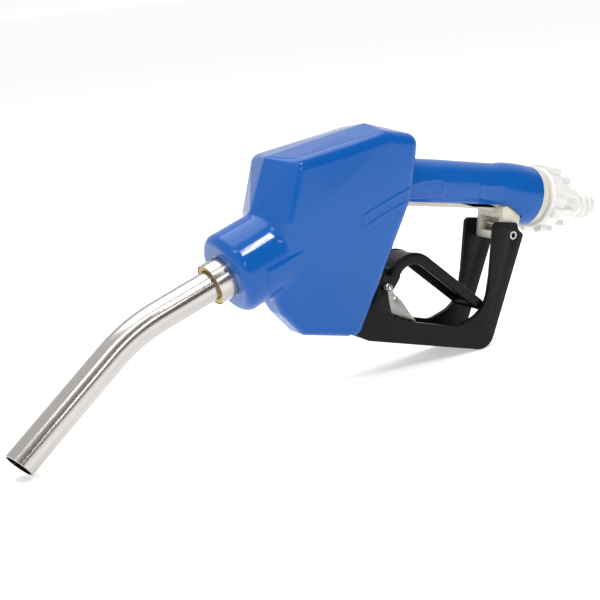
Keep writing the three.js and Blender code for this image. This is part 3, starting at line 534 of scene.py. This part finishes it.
def head_hull():
    """The head's outside as a dense closed mesh: the hull of a ball at each corner."""
    bm = bmesh.new()
    places = [(x, side * (corner[2] - HEAD_ROUNDING), z, HEAD_ROUNDING) for side in (-1, 1)
              for corner, (x, z) in zip(HEAD_SIDE, corner_centres(HEAD_SIDE, HEAD_ROUNDING))]
    places += [(x, 0, z, RIDGE_ROUNDING) for x, z in corner_centres(HEAD_RIDGE, RIDGE_ROUNDING)]
    for x, y, z, radius in places:
        bmesh.ops.create_icosphere(bm, subdivisions=4, radius=radius, matrix=Matrix.Translation((x, y, z)))
    hull = bmesh.ops.convex_hull(bm, input=bm.verts)
    inside = set(hull["geom_interior"]) | set(hull["geom_unused"])
    bmesh.ops.delete(bm, geom=[v for v in bm.verts if v in inside or not v.link_faces], context="VERTS")
    kept = {g for g in hull["geom"] if isinstance(g, bmesh.types.BMFace)}
    bmesh.ops.delete(bm, geom=[f for f in bm.faces if f not in kept], context="FACES")
    bmesh.ops.delete(bm, geom=[v for v in bm.verts if not v.link_faces], context="VERTS")
    bmesh.ops.recalc_face_normals(bm, faces=bm.faces)
    return bm


HEAD_HULL = head_hull()
HEAD_TREE = BVHTree.FromBMesh(HEAD_HULL)


def head_field(p):
    """Distance to the head, with its slope; the head's sides are crowned towards their top edge."""
    flat = np.ones(len(p))
    for a, b in zip(CROWN_EDGE, CROWN_EDGE[1:]):
        flat *= 1 - np.clip(1 - to_line(p[:, 0], p[:, 2], a, b) / CROWN_REACH, 0, 1) ** 2
    crown = CROWN * (1 - flat)
    crowned = p * np.stack([np.ones(len(p)), 1 + crown / 30, np.ones(len(p))], axis=1)
    distances = np.empty(len(p))
    slopes = np.empty_like(p)
    for i, place in enumerate(crowned):
        at = Vector(place)
        nearest, normal, _, distance = HEAD_TREE.find_nearest(at)
        side = 1.0 if (at - nearest).dot(normal) > 0 else -1.0
        distances[i] = side * distance
        slopes[i] = (at - nearest) / distance * side if distance > 1e-3 else normal
    return distances, slopes


def nose_distance(p):
    """Distance to a rod along the nose's line with a round rim."""
    local = p - np.array((NOSE[0], 0, NOSE[1]))
    slope = math.radians(NOSE_SLOPE)
    along = local[:, 0] * math.cos(slope) + local[:, 2] * math.sin(slope)
    up = -local[:, 0] * math.sin(slope) + local[:, 2] * math.cos(slope)
    out = np.hypot(local[:, 1], up) - (NOSE_RADIUS - NOSE_RIM)
    front = NOSE_RIM - NOSE_FRONT - along
    rim = np.hypot(np.clip(out, 0, None), np.clip(front, 0, None)) + np.minimum(np.maximum(out, front), 0)
    return np.maximum(rim - NOSE_RIM, along - NOSE_LENGTH)


HANDLE_GRID = np.linspace(HANDLE[0][0], 30, 300)


def eased(column):
    """One of the handle's columns along its grid, its corners smoothed."""
    stations = np.array(HANDLE + [(30, -7.9, 21.2)], float)
    kernel = np.hanning(15) / np.hanning(15).sum()
    values = np.interp(HANDLE_GRID, stations[:, 0], stations[:, column])
    return np.convolve(np.pad(values, 7, mode="edge"), kernel, mode="valid")


HANDLE_CENTRE = eased(1)
HANDLE_RADIUS = eased(2)


def handle_distance(p):
    """Distance to a round tube of changing radius along the handle, past the hose end of the cover."""
    centre = np.interp(p[:, 0], HANDLE_GRID, HANDLE_CENTRE)
    radius = np.interp(p[:, 0], HANDLE_GRID, HANDLE_RADIUS)
    out = np.hypot(p[:, 1], p[:, 2] - centre) - radius
    return np.maximum(np.maximum(out, HANDLE_GRID[0] - p[:, 0]), p[:, 0] - 24)


def to_line(x, z, a, b):
    """Distance in the X-Z plane from each point to the segment from a to b."""
    dx, dz = b[0] - a[0], b[1] - a[1]
    share = np.clip(((x - a[0]) * dx + (z - a[1]) * dz) / (dx * dx + dz * dz), 0, 1)
    return np.hypot(x - a[0] - share * dx, z - a[1] - share * dz)


def embossing(p):
    """Height of the raised lines on both sides: a panel that runs from head to handle, and a short one."""
    x, z = p[:, 0], p[:, 2]
    reach = np.full(len(p), 99.0)
    for outline in PANEL_OUTLINES:
        for a, b in zip(outline, outline[1:]):
            reach = np.minimum(reach, to_line(x, z, a, b))
    line = np.clip(1 - reach / PANEL_LINE, 0, 1)
    on_side = np.abs(p[:, 1]) > 8
    return PANEL_HEIGHT * line * line * (3 - 2 * line) * on_side


def nose_ledge(p):
    """Height of the moulding step along each side of the nose, just under its middle."""
    local = p - np.array((NOSE[0], 0, NOSE[1]))
    slope = math.radians(LEDGE_SLOPE)
    start = np.array(LEDGE_START)
    along = (p[:, 0] - start[0]) * math.cos(slope) + (p[:, 2] - start[1]) * math.sin(slope)
    below = (p[:, 0] - start[0]) * math.sin(slope) - (p[:, 2] - start[1]) * math.cos(slope)
    rise = np.clip(below / 1.0 + 0.5, 0, 1) * np.clip(1 - below / 22, 0, 1)
    ends = np.clip(along / 1.2 + 0.5, 0, 1) * np.clip((LEDGE_LENGTH - along) / 12, 0, 1)
    on_side = np.clip((np.abs(local[:, 1]) - 6) / 6, 0, 1)
    return LEDGE_HEIGHT * rise * ends * on_side


def shell_field(p):
    """Distance to the cover's outside, negative within, with its slope."""
    nose = sloped(lambda q: nose_distance(q) - nose_ledge(q), p)
    head = soft_min(head_field(p), nose, NOSE_FILLET)
    distance, slope = soft_min(head, sloped(handle_distance, p), HANDLE_FILLET)
    return distance - embossing(p), slope


def settle(points, inset, rounds=6, longest=1.5):
    """Moves points onto the surface that lies inset inside the shell."""
    p = points.copy()
    for _ in range(rounds):
        distance, slopes = shell_field(p)
        size = np.maximum(np.sum(slopes * slopes, axis=1), 0.05)
        move = -((distance + inset) / size)[:, None] * slopes
        length = np.linalg.norm(move, axis=1)
        p += move * np.minimum(1, longest / np.maximum(length, 1e-9))[:, None]
    return p


def coords(mesh):
    flat = np.empty(len(mesh.vertices) * 3, np.float32)
    mesh.vertices.foreach_get("co", flat)
    return flat.reshape(-1, 3).astype(float)


def set_coords(mesh, points):
    mesh.vertices.foreach_set("co", points.astype(np.float32).ravel())
    mesh.update()


def rough_shell():
    """A closed mesh near the shell: head, nose and handle, overlapping."""
    hull = bpy.data.meshes.new("hull")
    HEAD_HULL.to_mesh(hull)
    nose = turned(NOSE_LINE, [(-1, 0), (-1, NOSE_RADIUS - 3), (NOSE_RIM - NOSE_FRONT, NOSE_RADIUS),
                              (NOSE_LENGTH, NOSE_RADIUS), (NOSE_LENGTH, 0)], 48)
    stations = [(x, radius) for x, z, radius in HANDLE] + [(24, 21.2)]
    handle = turned(Matrix.Identity(4), [(-114, 0)] + stations + [(24, 0)], 48)
    points = coords(handle)
    points[:, 2] += np.interp(points[:, 0], HANDLE_GRID, HANDLE_CENTRE)
    set_coords(handle, points)
    return together(hull, nose, handle)


def shell_mesh(voxel, inset=0.0):
    """An even closed mesh on the shell's surface, moved in by inset."""
    obj = object_of(rough_shell())
    remesh = obj.modifiers.new("remesh", "REMESH")
    remesh.mode = "VOXEL"
    remesh.voxel_size = voxel
    mesh = applied(obj)
    set_coords(mesh, settle(coords(mesh), inset))
    return mesh


def marked(mesh, material):
    """The mesh with one material that marks the faces it leaves in a boolean."""
    mesh.materials.clear()
    mesh.materials.append(material)
    return mesh


CUT_FACE = bpy.data.materials.new("cut_face")
SKIN_FACE = bpy.data.materials.new("skin_face")


def delete_faces(mesh, chosen):
    bm = bmesh.new()
    bm.from_mesh(mesh)
    bm.faces.ensure_lookup_table()
    bmesh.ops.delete(bm, geom=[bm.faces[i] for i in chosen], context="FACES")
    bm.to_mesh(mesh)
    bm.free()


def trimmed_at_inlet(mesh, along, capped=False):
    """The mesh without what lies past a plane across the inlet's line, its cut closed if capped."""
    bm = bmesh.new()
    bm.from_mesh(mesh)
    place = INLET_LINE @ Vector((along, 0, 0))
    normal = INLET_LINE.to_3x3() @ Vector((1, 0, 0))
    cut = bmesh.ops.bisect_plane(bm, geom=bm.verts[:] + bm.edges[:] + bm.faces[:], plane_co=place,
                                 plane_no=normal, clear_outer=True)
    if capped:
        rim = [g for g in cut["geom_cut"] if isinstance(g, bmesh.types.BMEdge)]
        bmesh.ops.contextual_create(bm, geom=rim)
    bm.to_mesh(mesh)
    bm.free()
    return mesh


def heel_mouth(reach):
    """The opening under the head for the latch, the lever and the guard."""
    return slab([(-100, -34), (-130, -34), (-137.5, -84), (-137.5, -105), (-90, -105)], -reach, reach)


def splash_cover():
    """The blue skin: outer surface, mouths cut out, then its wall."""
    skin = marked(shell_mesh(SKIN_VOXEL, SKIN_INSET), SKIN_FACE)
    mouth = turned(NOSE_LINE, [(-4, 0), (-4, COLLAR_RADIUS + 0.4), (12, COLLAR_RADIUS + 0.4), (12, 0)], 96)
    under = slab([(-97, -40), (-97, -12.3), (-14, -12.3), (-3, -17), (-0.8, -19), (-0.8, -40)], -14.5, 14.5)
    tools = [marked(tool, CUT_FACE) for tool in (mouth, under, heel_mouth(GUARD_HALF_WIDTH + 0.8))]
    skin = boolean(skin, "DIFFERENCE", *tools)
    cut_slots = {i for i, m in enumerate(skin.materials) if m and m.name.startswith("cut_face")}
    delete_faces(skin, [f.index for f in skin.polygons if f.material_index in cut_slots])
    trimmed_at_inlet(skin, 0.0)
    for face in skin.polygons:
        face.material_index = 0
    obj = object_of(skin)
    wall = obj.modifiers.new("wall", "SOLIDIFY")
    wall.thickness = COVER_WALL
    wall.offset = -1
    return applied(obj)


piece("cover_skin", splash_cover(), "root", BLUE, ["splash_cover"], sharp=50)

# ---------------------------------------------------------------- the ivory body


def valve_body():
    """The moulded body inside the cover, with its hose ring, the rib under the handle and the guard's lug."""
    core = trimmed_at_inlet(shell_mesh(BODY_VOXEL, BODY_INSET), -1, capped=True)
    room = [slab([(-90, -58), (-118, -58), (-131, -70), (-140, -80), (-140, TONGUE_TOP + 0.3),
                  (-175, TONGUE_TOP + 0.3), (-175, -120), (-90, -120)],
                 -GUARD_HALF_WIDTH - 0.8, GUARD_HALF_WIDTH + 0.8),
            slab([(-100, -100), (-118, -46), (-124, -68), (-134, -92)], -30, 30),
            turned(NOSE_LINE, [(0, 0), (0, COLLAR_RADIUS + 1.1), (24, COLLAR_RADIUS + 1.1), (24, 0)], 48)]
    core = boolean(core, "DIFFERENCE", *room)
    rib_side = fillet([(-95, -6, 1), (-95, -15.6, 1), (-14, -15.6, 1), (-14, -6, 1)])
    rib = rounded_edges(slab(rib_side, -5, 5), 1.2)
    return together(core, rib, lug())


def lug():
    """The block under the handle that the guard's pin goes through, open at its front."""
    half = GUARD_HALF_WIDTH - GUARD_WALL - 0.3
    block = slab(fillet([(-17, -13, 2), (-16.5, -36.5, 3), (-1.6, -37, 3), (-1.6, -19.5, 1), (-6, -16.5, 1),
                         (-13, -13, 1)]), -half, half)
    neck = slab([(-48, -9), (-48, -12.6), (-17, -18), (-6, -18), (-6, -9)], -5, 5)
    recess = slab([(-20, -21), (-9, -21), (-9, -31), (-20, -31)], -half + 3.5, half - 3.5)
    block = boolean(block, "UNION", neck)
    block = boolean(block, "DIFFERENCE", recess, rod_across(GUARD_PIN, GUARD_PIN_RADIUS, -20, 20))
    return rounded_edges(block, 0.6, 2)


def hose_ring():
    """The round flange between the cover and the union nut, and the spigot the nut turns on."""
    profile = fillet([(-8, 12), (-8, 18.2), (0.4, 18.6), (RING_END - 0.2, 18.4, 1.2), (RING_END, 12)])
    spigot = turned(INLET_LINE, [(RING_END - 3, SPIGOT_RADIUS), (21.5, SPIGOT_RADIUS), (21.5, 11),
                                 (RING_END - 3, 11)])
    return together(turned(INLET_LINE, profile, 96), spigot)


piece("valve_casting", together(valve_body(), hose_ring()), "root", IVORY, ["valve_body"])

# ---------------------------------------------------------------- spout


def spout_frames(step=4.0):
    """Places along the spout's centre line, each with its up direction and its run from the inner end."""
    bend = math.radians(SPOUT_TIP_SLOPE - NOSE_SLOPE)
    tangent = SPOUT_BEND_RADIUS * math.tan(bend / 2)
    straight = SPOUT_TO_BEND - tangent + SPOUT_INSIDE
    arc = SPOUT_BEND_RADIUS * bend
    total = straight + arc + SPOUT_FROM_BEND - tangent
    count = round(total / step)
    frames = []
    for i in range(count + 1):
        run = total * i / count
        turn = min(max(run - straight, 0.0), arc) / SPOUT_BEND_RADIUS
        angle = math.radians(NOSE_SLOPE) + turn
        before = min(run, straight)
        after = max(run - straight - arc, 0.0)
        x = SPOUT_INSIDE - before - SPOUT_BEND_RADIUS * math.sin(turn) - after * math.cos(turn)
        z = -SPOUT_BEND_RADIUS * (1 - math.cos(turn)) - after * math.sin(turn)
        place = NOSE_LINE @ Vector((x, 0, z))
        up = Vector((-math.sin(angle), 0, math.cos(angle)))
        frames.append((place, up, run))
    return frames


def pipe(frames, outer, inner, sides=64, edge=0.25):
    """A tube along frames, its mouth cut askew and its edges broken; flow holds the straightened place."""
    rings = [(place, up, run, outer) for place, up, run in frames]
    last_place, last_up, last_run, _ = rings.pop()
    ahead = Vector((-last_up.z, 0, last_up.x))
    back = last_place - ahead * edge
    rings += [(back, last_up, last_run - edge, outer), (last_place, last_up, last_run, outer - edge)]
    rings += [(last_place, last_up, last_run, inner + edge), (back, last_up, last_run - edge, inner)]
    rings += [(place, up, run, inner) for place, up, run in reversed(frames[:-1])]
    verts = []
    flow = []
    for place, up, run, radius in rings:
        for k in range(sides):
            angle = 2 * math.pi * k / sides
            y, z = radius * math.cos(angle), radius * math.sin(angle)
            short = math.tan(MOUTH_SKEW) * (SPOUT_RADIUS - y) * (run > last_run - 2)
            verts.append(tuple(place + Vector((0, y, 0)) + up * z - ahead * short))
            flow.append((run * MM, y * MM, z * MM))
    count = len(rings)
    faces = [(i * sides + k, i * sides + (k + 1) % sides, (i + 1) % count * sides + (k + 1) % sides,
              (i + 1) % count * sides + k) for i in range(count) for k in range(sides)]
    mesh = bpy.data.meshes.new("pipe")
    mesh.from_pydata(verts, [], faces)
    attribute = mesh.attributes.new("flow", "FLOAT_VECTOR", "POINT")
    attribute.data.foreach_set("vector", [value for place in flow for value in place])
    return mesh


piece("spout_pipe", pipe(spout_frames(), SPOUT_RADIUS, SPOUT_RADIUS - SPOUT_WALL), "root",
      SPOUT_STEEL, ["spout_tube"])


def collar():
    """The turned steel sleeve that holds the spout in the nose."""
    bore = SPOUT_RADIUS + 0.3
    profile = fillet([(-COLLAR_OUT, 12.9, 0.15), (-COLLAR_OUT, COLLAR_RADIUS, 0.3), (-1.6, COLLAR_RADIUS),
                      (-1.6, COLLAR_RADIUS + 0.6, 0.2), (13, COLLAR_RADIUS + 0.6), (13, bore),
                      (-COLLAR_OUT + 2.2, bore), (-COLLAR_OUT + 2.2, 12.9)], 3)
    mesh = turned(NOSE_LINE, profile, 96)
    points = coords(mesh)
    local = np.array([NOSE_LINE.inverted() @ Vector(p) for p in points]) * MM
    attribute = mesh.attributes.new("flow", "FLOAT_VECTOR", "POINT")
    attribute.data.foreach_set("vector", local.ravel())
    return mesh


piece("spout_sleeve", collar(), "root", SPOUT_STEEL, ["spout_collar"])


def snap_ring():
    """The brass-coloured ring in the sleeve's mouth."""
    inner, outer = SPOUT_RADIUS + 0.3, 12.7
    profile = fillet([(-COLLAR_OUT + 0.3, inner, 0.3), (-COLLAR_OUT + 0.3, outer, 0.3),
                      (-COLLAR_OUT + 1.9, outer, 0.2), (-COLLAR_OUT + 1.9, inner, 0.2)], 3)
    return turned(NOSE_LINE, profile, 96)


piece("snap_ring", snap_ring(), "root", BRASS, ["spout_retaining_ring"])

# ---------------------------------------------------------------- lever


def lever_frames():
    """Places along the lever's outer line with their inward directions: round the arch, then down the bar."""
    frames = []
    centre = Vector((ARCH_CENTRE[0], 0, ARCH_CENTRE[1]))
    end_angle = 90 + BAR_SLOPE
    for i in range(ARCH_STEPS + 1):
        angle = math.radians(ARCH_END + (end_angle - ARCH_END) * i / ARCH_STEPS)
        out = Vector((math.cos(angle), 0, math.sin(angle)))
        frames.append((centre + out * ARCH_RADIUS, Vector((0, 1, 0)), -out))
    place, across, inward = frames[-1]
    along = Vector((math.cos(math.radians(BAR_SLOPE)), 0, math.sin(math.radians(BAR_SLOPE))))
    frames += [(place + along * BAR_LENGTH * k / 6, across, inward) for k in range(1, 7)]
    return frames


def hand_lever():
    """A rounded channel, with rims along both sides, on a forked leg."""
    half, rim = LEVER_HALF_WIDTH, LEVER_HALF_WIDTH - LEVER_ARM
    section = fillet([(-half, 0, 1.6), (-rim - 0.3, 0, 0.6), (-rim + 0.6, 0.7, 0.6), (rim - 0.6, 0.7, 0.6),
                      (rim + 0.3, 0, 0.6), (half, 0, 1.6), (half, LEVER_DEPTH, 1.6),
                      (rim, LEVER_DEPTH, 1.2), (rim, 3.6, 0.8), (-rim, 3.6, 0.8),
                      (-rim, LEVER_DEPTH, 1.2), (-half, LEVER_DEPTH, 1.6)], 4)
    frames = lever_frames()
    rail = swept(frames, section)
    end_place, _, inward = frames[-1]
    centre = end_place + inward * LEVER_DEPTH / 2
    toe = rod_across((centre.x, centre.z), LEVER_DEPTH / 2, -half, half, 40, 1.2)
    leg = slab(tangent_outline((LEG_TOP, 6.0), (LEVER_PIVOT, 6.3)), -LEG_HALF_WIDTH, LEG_HALF_WIDTH)
    fork = rod_across(LEVER_PIVOT, 15, -LATCH_HALF_WIDTH - 0.4, LATCH_HALF_WIDTH + 0.4)
    leg = rounded_edges(boolean(leg, "DIFFERENCE", fork, rod_across(LEVER_PIVOT, 2.2, -20, 20)), 0.7, 3)
    return together(rail, toe, leg)


def tangent_outline(a, b, steps=20):
    """The outline of two circles and the straight lines that touch both."""
    (ax, az), ra = a
    (bx, bz), rb = b
    reach = math.hypot(bx - ax, bz - az)
    heading = math.atan2(bz - az, bx - ax)
    lean = math.acos((ra - rb) / reach)
    outline = [(bx + rb * math.cos(heading + lean * (1 - 2 * k / steps)),
                bz + rb * math.sin(heading + lean * (1 - 2 * k / steps))) for k in range(steps + 1)]
    rest = 2 * math.pi - 2 * lean
    outline += [(ax + ra * math.cos(heading - lean - rest * k / steps),
                 az + ra * math.sin(heading - lean - rest * k / steps)) for k in range(steps + 1)]
    return outline


piece("lever_grip", hand_lever(), "lever", BLACK, ["hand_lever"])

# ---------------------------------------------------------------- guard


def strip_offset(points, offset):
    """An open line of points moved sideways, to its left for a positive offset."""
    moved = []
    for i, (x, z) in enumerate(points):
        ax, az = points[max(i - 1, 0)]
        bx, bz = points[min(i + 1, len(points) - 1)]
        length = math.hypot(bx - ax, bz - az)
        moved.append((x - (bz - az) / length * offset, z + (bx - ax) / length * offset))
    return moved


def lever_guard():
    """Two plates and a floor, open upwards, from the tongue under the head to the lug."""
    corners = [(-26.3, -23.5, 3.5), (-6.8, -23.5, 2.5), (-4.6, -28.2, 0.5), (0.3, -31.5, 1.5),
               (*HEEL, HEEL_RADIUS), (-122.3, -102, 8), (-131.6, -98.6, 2), (-137, -91, 1), (-137, -88, 1),
               (-124, -80.5, 2), (-111.2, -67.5, 1.5), (-109.2, -75.6, 3), (-105.5, -86.5, 7),
               (-89, -90.4, 8), (-50, -94.8, 14), (-27, -84, 22), (-25.6, -60, 4)]
    floor = [(-134, -94.6), (-131.2, -98.5), (-122.3, -102), (-100, -104.1), (-60, -107.9),
             (HEEL[0] - HEEL_RADIUS - 1.2, HEEL[1] + 1.2)]
    for i in range(1, 9):
        angle = math.radians(-95 + 80 * i / 8)
        floor.append((HEEL[0] - HEEL_RADIUS - 0.4 + HEEL_RADIUS * math.cos(angle),
                      HEEL[1] + HEEL_RADIUS + 1.3 + HEEL_RADIUS * math.sin(angle)))
    inside = GUARD_HALF_WIDTH - GUARD_WALL
    top = strip_offset(floor, GUARD_WALL)
    block = slab(fillet(corners, 8), -GUARD_HALF_WIDTH, GUARD_HALF_WIDTH)
    channel = slab(top + [(20, top[-1][1]), (20, 0), (-134, 0)], -inside, inside)
    front = slab([(-150, -60), (-150, -88), (-134.5, -88), (-134.5, -60)], -inside, inside)
    under = TONGUE_TOP - TONGUE_THICKNESS
    tongue = slab([(-158, TONGUE_TOP), (-158, under), (-137, under), (-134, -94.6), (-131.5, -94.6),
                   (-133.5, TONGUE_TOP)], -12, 12)
    body = boolean(block, "DIFFERENCE", channel, front)
    body = boolean(body, "UNION", tongue)
    body = boolean(body, "DIFFERENCE", rod_across(GUARD_PIN, GUARD_PIN_RADIUS + 0.15, -20, 20))
    return rounded_edges(body, 0.9, 3, 40)


piece("guard_channel", lever_guard(), "root", BLACK, ["lever_guard"])


def guard_rivet():
    """A hollow rivet whose flared lips show on both plates."""
    half = GUARD_HALF_WIDTH + 0.3
    matrix = Matrix.Translation((GUARD_PIN[0], 0, GUARD_PIN[1])) @ Matrix.Rotation(math.pi / 2, 4, "Z")
    outer, bore = GUARD_PIN_RADIUS, 1.7
    profile = fillet([(-half, bore, 0.3), (-half, outer, 0.35), (half, outer, 0.35), (half, bore, 0.3)], 4)
    return turned(matrix, profile, 48)


piece("guard_rivet", guard_rivet(), "root", STEEL, ["guard_pin"])
piece("lug_pin", rod_across(LUG_DOWEL, 1.6, -11.6, 11.6, 32, 0.3), "root", STEEL, ["lug_dowel"])

# ---------------------------------------------------------------- hold-open clip


def hold_open_clip():
    """Two thin cheeks on a bridge: an eye, a neck and a pointed catch each."""
    x, z = CLIP_PIVOT
    cheek = fillet([(x - 2.4, z - 1, 0.8), (x + 1.6, z - 9.5, 1), (x + 3.1, z - 16, 1.2), (x + 7.6, z - 17.8),
                    (x + 24.6, z - 23.6, 0.6), (x + 25.6, z - 22.6, 0.6), (x + 19, z - 16.2, 1),
                    (x + 11.9, z - 8.4), (x + 5.5, z - 3.8, 1), (x + 2.2, z + 1.6, 0.8)], 5)
    peep = rod_across((x + 7, z - 6.9), 1.1, -12, 12, 24)
    bore = rod_across(CLIP_PIVOT, 1.6, -20, 20, 32)
    cheeks = []
    for y0, y1 in ((-10.4, -9), (9, 10.4)):
        eye = rod_across(CLIP_PIVOT, 3, y0, y1, 40)
        plate = boolean(boolean(slab(cheek, y0, y1), "UNION", eye), "DIFFERENCE", bore, peep)
        cheeks.append(rounded_edges(plate, 0.3, 2))
    bridge = slab([(x + 4.4, z - 15.6), (x + 8, z - 17), (x + 8.4, z - 15.7), (x + 4.8, z - 14.3)], -9.5, 9.5)
    return together(*cheeks, bridge)


piece("clip_catch", hold_open_clip(), "clip", CLIP_STEEL, ["hold_open_clip"])
piece("clip_axle", together(rod_across(CLIP_PIVOT, 1.5, -13, 11.6, 32, 0.3),
                            rod_across(CLIP_PIVOT, 2.4, 10.7, 11.6, 32, 0.2)),
      "lever", STEEL, ["clip_pin"])

# ---------------------------------------------------------------- hose end


def lug_box(k, along, half_width, radii):
    """One lug of the union nut, its edges rounded."""
    turn = Matrix.Rotation(2 * math.pi * (k + 0.5) / NUT_LUGS, 4, "X")
    matrix = INLET_LINE @ turn
    corners = [(a, y, r) for a in along for y in (-half_width, half_width) for r in radii]
    bm = bmesh.new()
    verts = [bm.verts.new(c) for c in corners]
    bmesh.ops.convex_hull(bm, input=verts)
    bmesh.ops.dissolve_limit(bm, angle_limit=0.01, verts=bm.verts, edges=bm.edges)
    bmesh.ops.bevel(bm, geom=bm.edges[:], offset=0.7, segments=3, profile=0.5, affect="EDGES")
    mesh = bpy.data.meshes.new("lug")
    bm.to_mesh(mesh)
    bm.free()
    mesh.transform(matrix)
    return mesh


def union_nut():
    """The wing-lugged nut: a wide front section and a narrower rear one, each with lugs."""
    inner = SPIGOT_RADIUS + 0.4
    profile = fillet([(RING_END + 0.3, inner), (RING_END + 0.3, 20.5, 0.4), (11, 21.3, 0.5), (21, 21.3, 1.2),
                      (23, 16, 1), (34, 15.2, 0.8), (NUT_END, 13.8, 0.6), (NUT_END, 9.9), (29.3, 9.9),
                      (29.3, inner)], 4)
    front = [lug_box(k, (RING_END + 2, 21.8), 3.6, (19, 24.6)) for k in range(NUT_LUGS)]
    rear = [lug_box(k, (18.5, 34.5), 2.8, (14.8, 19)) for k in range(NUT_LUGS)]
    return together(turned(INLET_LINE, profile, 96), *front, *rear)


def hose_tail():
    """A tube with saw-tooth barbs and a flange under the nut."""
    pitch = (TAIL_END - BARBS_START) / BARBS
    profile = [(25.6, TAIL_BORE), (25.6, 13.2), (29, 13.2), (29, 9.5), (38, 9.5), (38, 8.4)]
    for i in range(BARBS):
        start = BARBS_START + i * pitch
        profile += [(start, 8.4, 0.15), (start + 0.6, 9.8, 0.3), (start + pitch - 0.8, 8.4, 0.4)]
    profile += [(TAIL_END, 8.2, 0.4), (TAIL_END, TAIL_BORE, 0.4)]
    return turned(INLET_LINE, fillet(profile, 3), 96)


piece("nut_body", union_nut(), "nut", WHITE, ["union_nut"])
piece("tail_barbs", hose_tail(), "tail", WHITE, ["hose_tail"])

# ---------------------------------------------------------------- springs, copied as they stand

CLOSING_SPRINGS = {"check_valve_open": "check_valve_spring", "main_valve_lift": "main_spring",
                   "diaphragm_lift": "diaphragm_spring", "latch_trip": "latch_spring"}


def closing_spring(node):
    """The CAD coil as a piece of its own, copied and baked where it stands; it rides on no body."""
    source = frame["nodes"][node]
    coil = object_of(source.data.copy(), node + "_coil")
    coil.matrix_world = source.matrix_world.copy()
    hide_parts(node)
    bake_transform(coil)


for joint_name, spring_node in CLOSING_SPRINGS.items():
    closing_spring(spring_node)

# ---------------------------------------------------------------- camera, floor and light

CAMERA_PLACE = (-568.9, -633.1, 33.9)
CAMERA_AIM = (-166.5, 0.0, -77.3)
CAMERA_ROLL = 4.28
LENS = 72.2
FLOOR_REACH = 60.0
FLOOR_GLOW = 0.45
SKY_LOW = (1.0, 1.0, 1.0, 1)
SKY_PALE = (0.8, 0.8, 0.8)
SKY_DIM = (0.08, 0.08, 0.085)
DIM_SIDE = (0.5, -0.87, 0.0)


def studio_camera():
    """The photograph's viewpoint, placed in the nozzle's axes."""
    place, aim = ROW @ Vector(CAMERA_PLACE), ROW @ Vector(CAMERA_AIM)
    upright = (ROW.to_3x3() @ Vector((0, 0, 1))).normalized()
    back = (place - aim).normalized()
    right = upright.cross(back).normalized()
    up = back.cross(right)
    turn = Matrix((right, up, back)).transposed() @ Matrix.Rotation(math.radians(CAMERA_ROLL), 3, "Z")
    data = bpy.data.cameras.new("camera")
    data.lens = LENS
    data.sensor_width = 36.0
    camera = bpy.data.objects.new("camera", data)
    camera.matrix_world = Matrix.Translation(place) @ turn.to_4x4()
    bpy.context.scene.collection.objects.link(camera)
    bpy.context.scene.camera = camera


def floor():
    """A wide white floor with a faint glow of its own, like a lit product table."""
    mesh = bpy.data.meshes.new("floor")
    reach = FLOOR_REACH
    corners = [(-reach, -reach, 0), (reach, -reach, 0), (reach, reach, 0), (-reach, reach, 0)]
    mesh.from_pydata(corners, [], [(0, 1, 2, 3)])
    material, _, shader = principled("floor", 0.9)
    shader.inputs["Base Color"].default_value = (0.8, 0.8, 0.8, 1)
    shader.inputs["Emission Color"].default_value = (1, 1, 1, 1)
    shader.inputs["Emission Strength"].default_value = FLOOR_GLOW
    mesh.materials.append(material)
    object_of(mesh, "floor")


def softbox(name, place, aim, size, power, along=(1, 0, 0)):
    """A rectangular light at place, metres in the row frame, facing aim; its first side follows along."""
    back = (Vector(place) - Vector(aim)).normalized()
    side = (Vector(along) - back * back.dot(Vector(along))).normalized()
    data = bpy.data.lights.new(name, "AREA")
    data.shape = "RECTANGLE"
    data.size, data.size_y = size
    data.energy = power
    lamp = bpy.data.objects.new(name, data)
    turn = Matrix((side, back.cross(side), back)).transposed()
    lamp.matrix_world = Matrix.Translation(place) @ turn.to_4x4()
    bpy.context.scene.collection.objects.link(lamp)


def studio_sky():
    """White at and below the horizon, pale above, with a dim side that the glossy near faces reflect."""
    world = bpy.data.worlds.new("studio")
    world.use_nodes = True
    tree = world.node_tree
    direction = tree.nodes.new("ShaderNodeTexCoord").outputs["Generated"]
    towards = tree.nodes.new("ShaderNodeVectorMath")
    towards.operation = "DOT_PRODUCT"
    towards.inputs[1].default_value = DIM_SIDE
    tree.links.new(direction, towards.inputs[0])
    split = tree.nodes.new("ShaderNodeSeparateXYZ")
    tree.links.new(direction, split.inputs["Vector"])
    walls = blend_of(tree, towards.outputs["Value"], SKY_PALE, SKY_DIM, 0.2, 0.6)
    mix = tree.nodes.new("ShaderNodeMix")
    mix.data_type = "RGBA"
    tree.links.new(blend_of(tree, split.outputs["Z"], 0.0, 1.0, 0.0, 0.05), mix.inputs["Factor"])
    mix.inputs[6].default_value = SKY_LOW
    tree.links.new(walls, mix.inputs[7])
    tree.links.new(mix.outputs[2], tree.nodes["Background"].inputs["Color"])
    bpy.context.scene.world = world


def studio_light():
    """The sky, a broad overhead box, a pane that shows as a window on the nose, and two long strips.

    The strips show as the two bright lines along the spout.
    """
    studio_sky()
    softbox("overhead", (0.1, 0.5, 1.7), (0, 0, 0.1), (1.6, 1.6), 18)
    softbox("window", (0.133, -0.632, 1.004), (-0.053, -0.023, 0.107), (0.06, 0.3), 3.5)
    spout = (-0.165, 0, 0.047)
    softbox("low_strip", (-0.158, -1.07, 0.53), spout, (0.6, 0.13), 1.7, (0.344, 0.104, 0.223))
    softbox("high_strip", (-0.446, -0.473, 1.05), spout, (0.8, 0.13), 2.0, (0.585, -0.05, 0.14))
    bpy.context.scene.view_settings.view_transform = "Standard"


studio_camera()
floor()
studio_light()
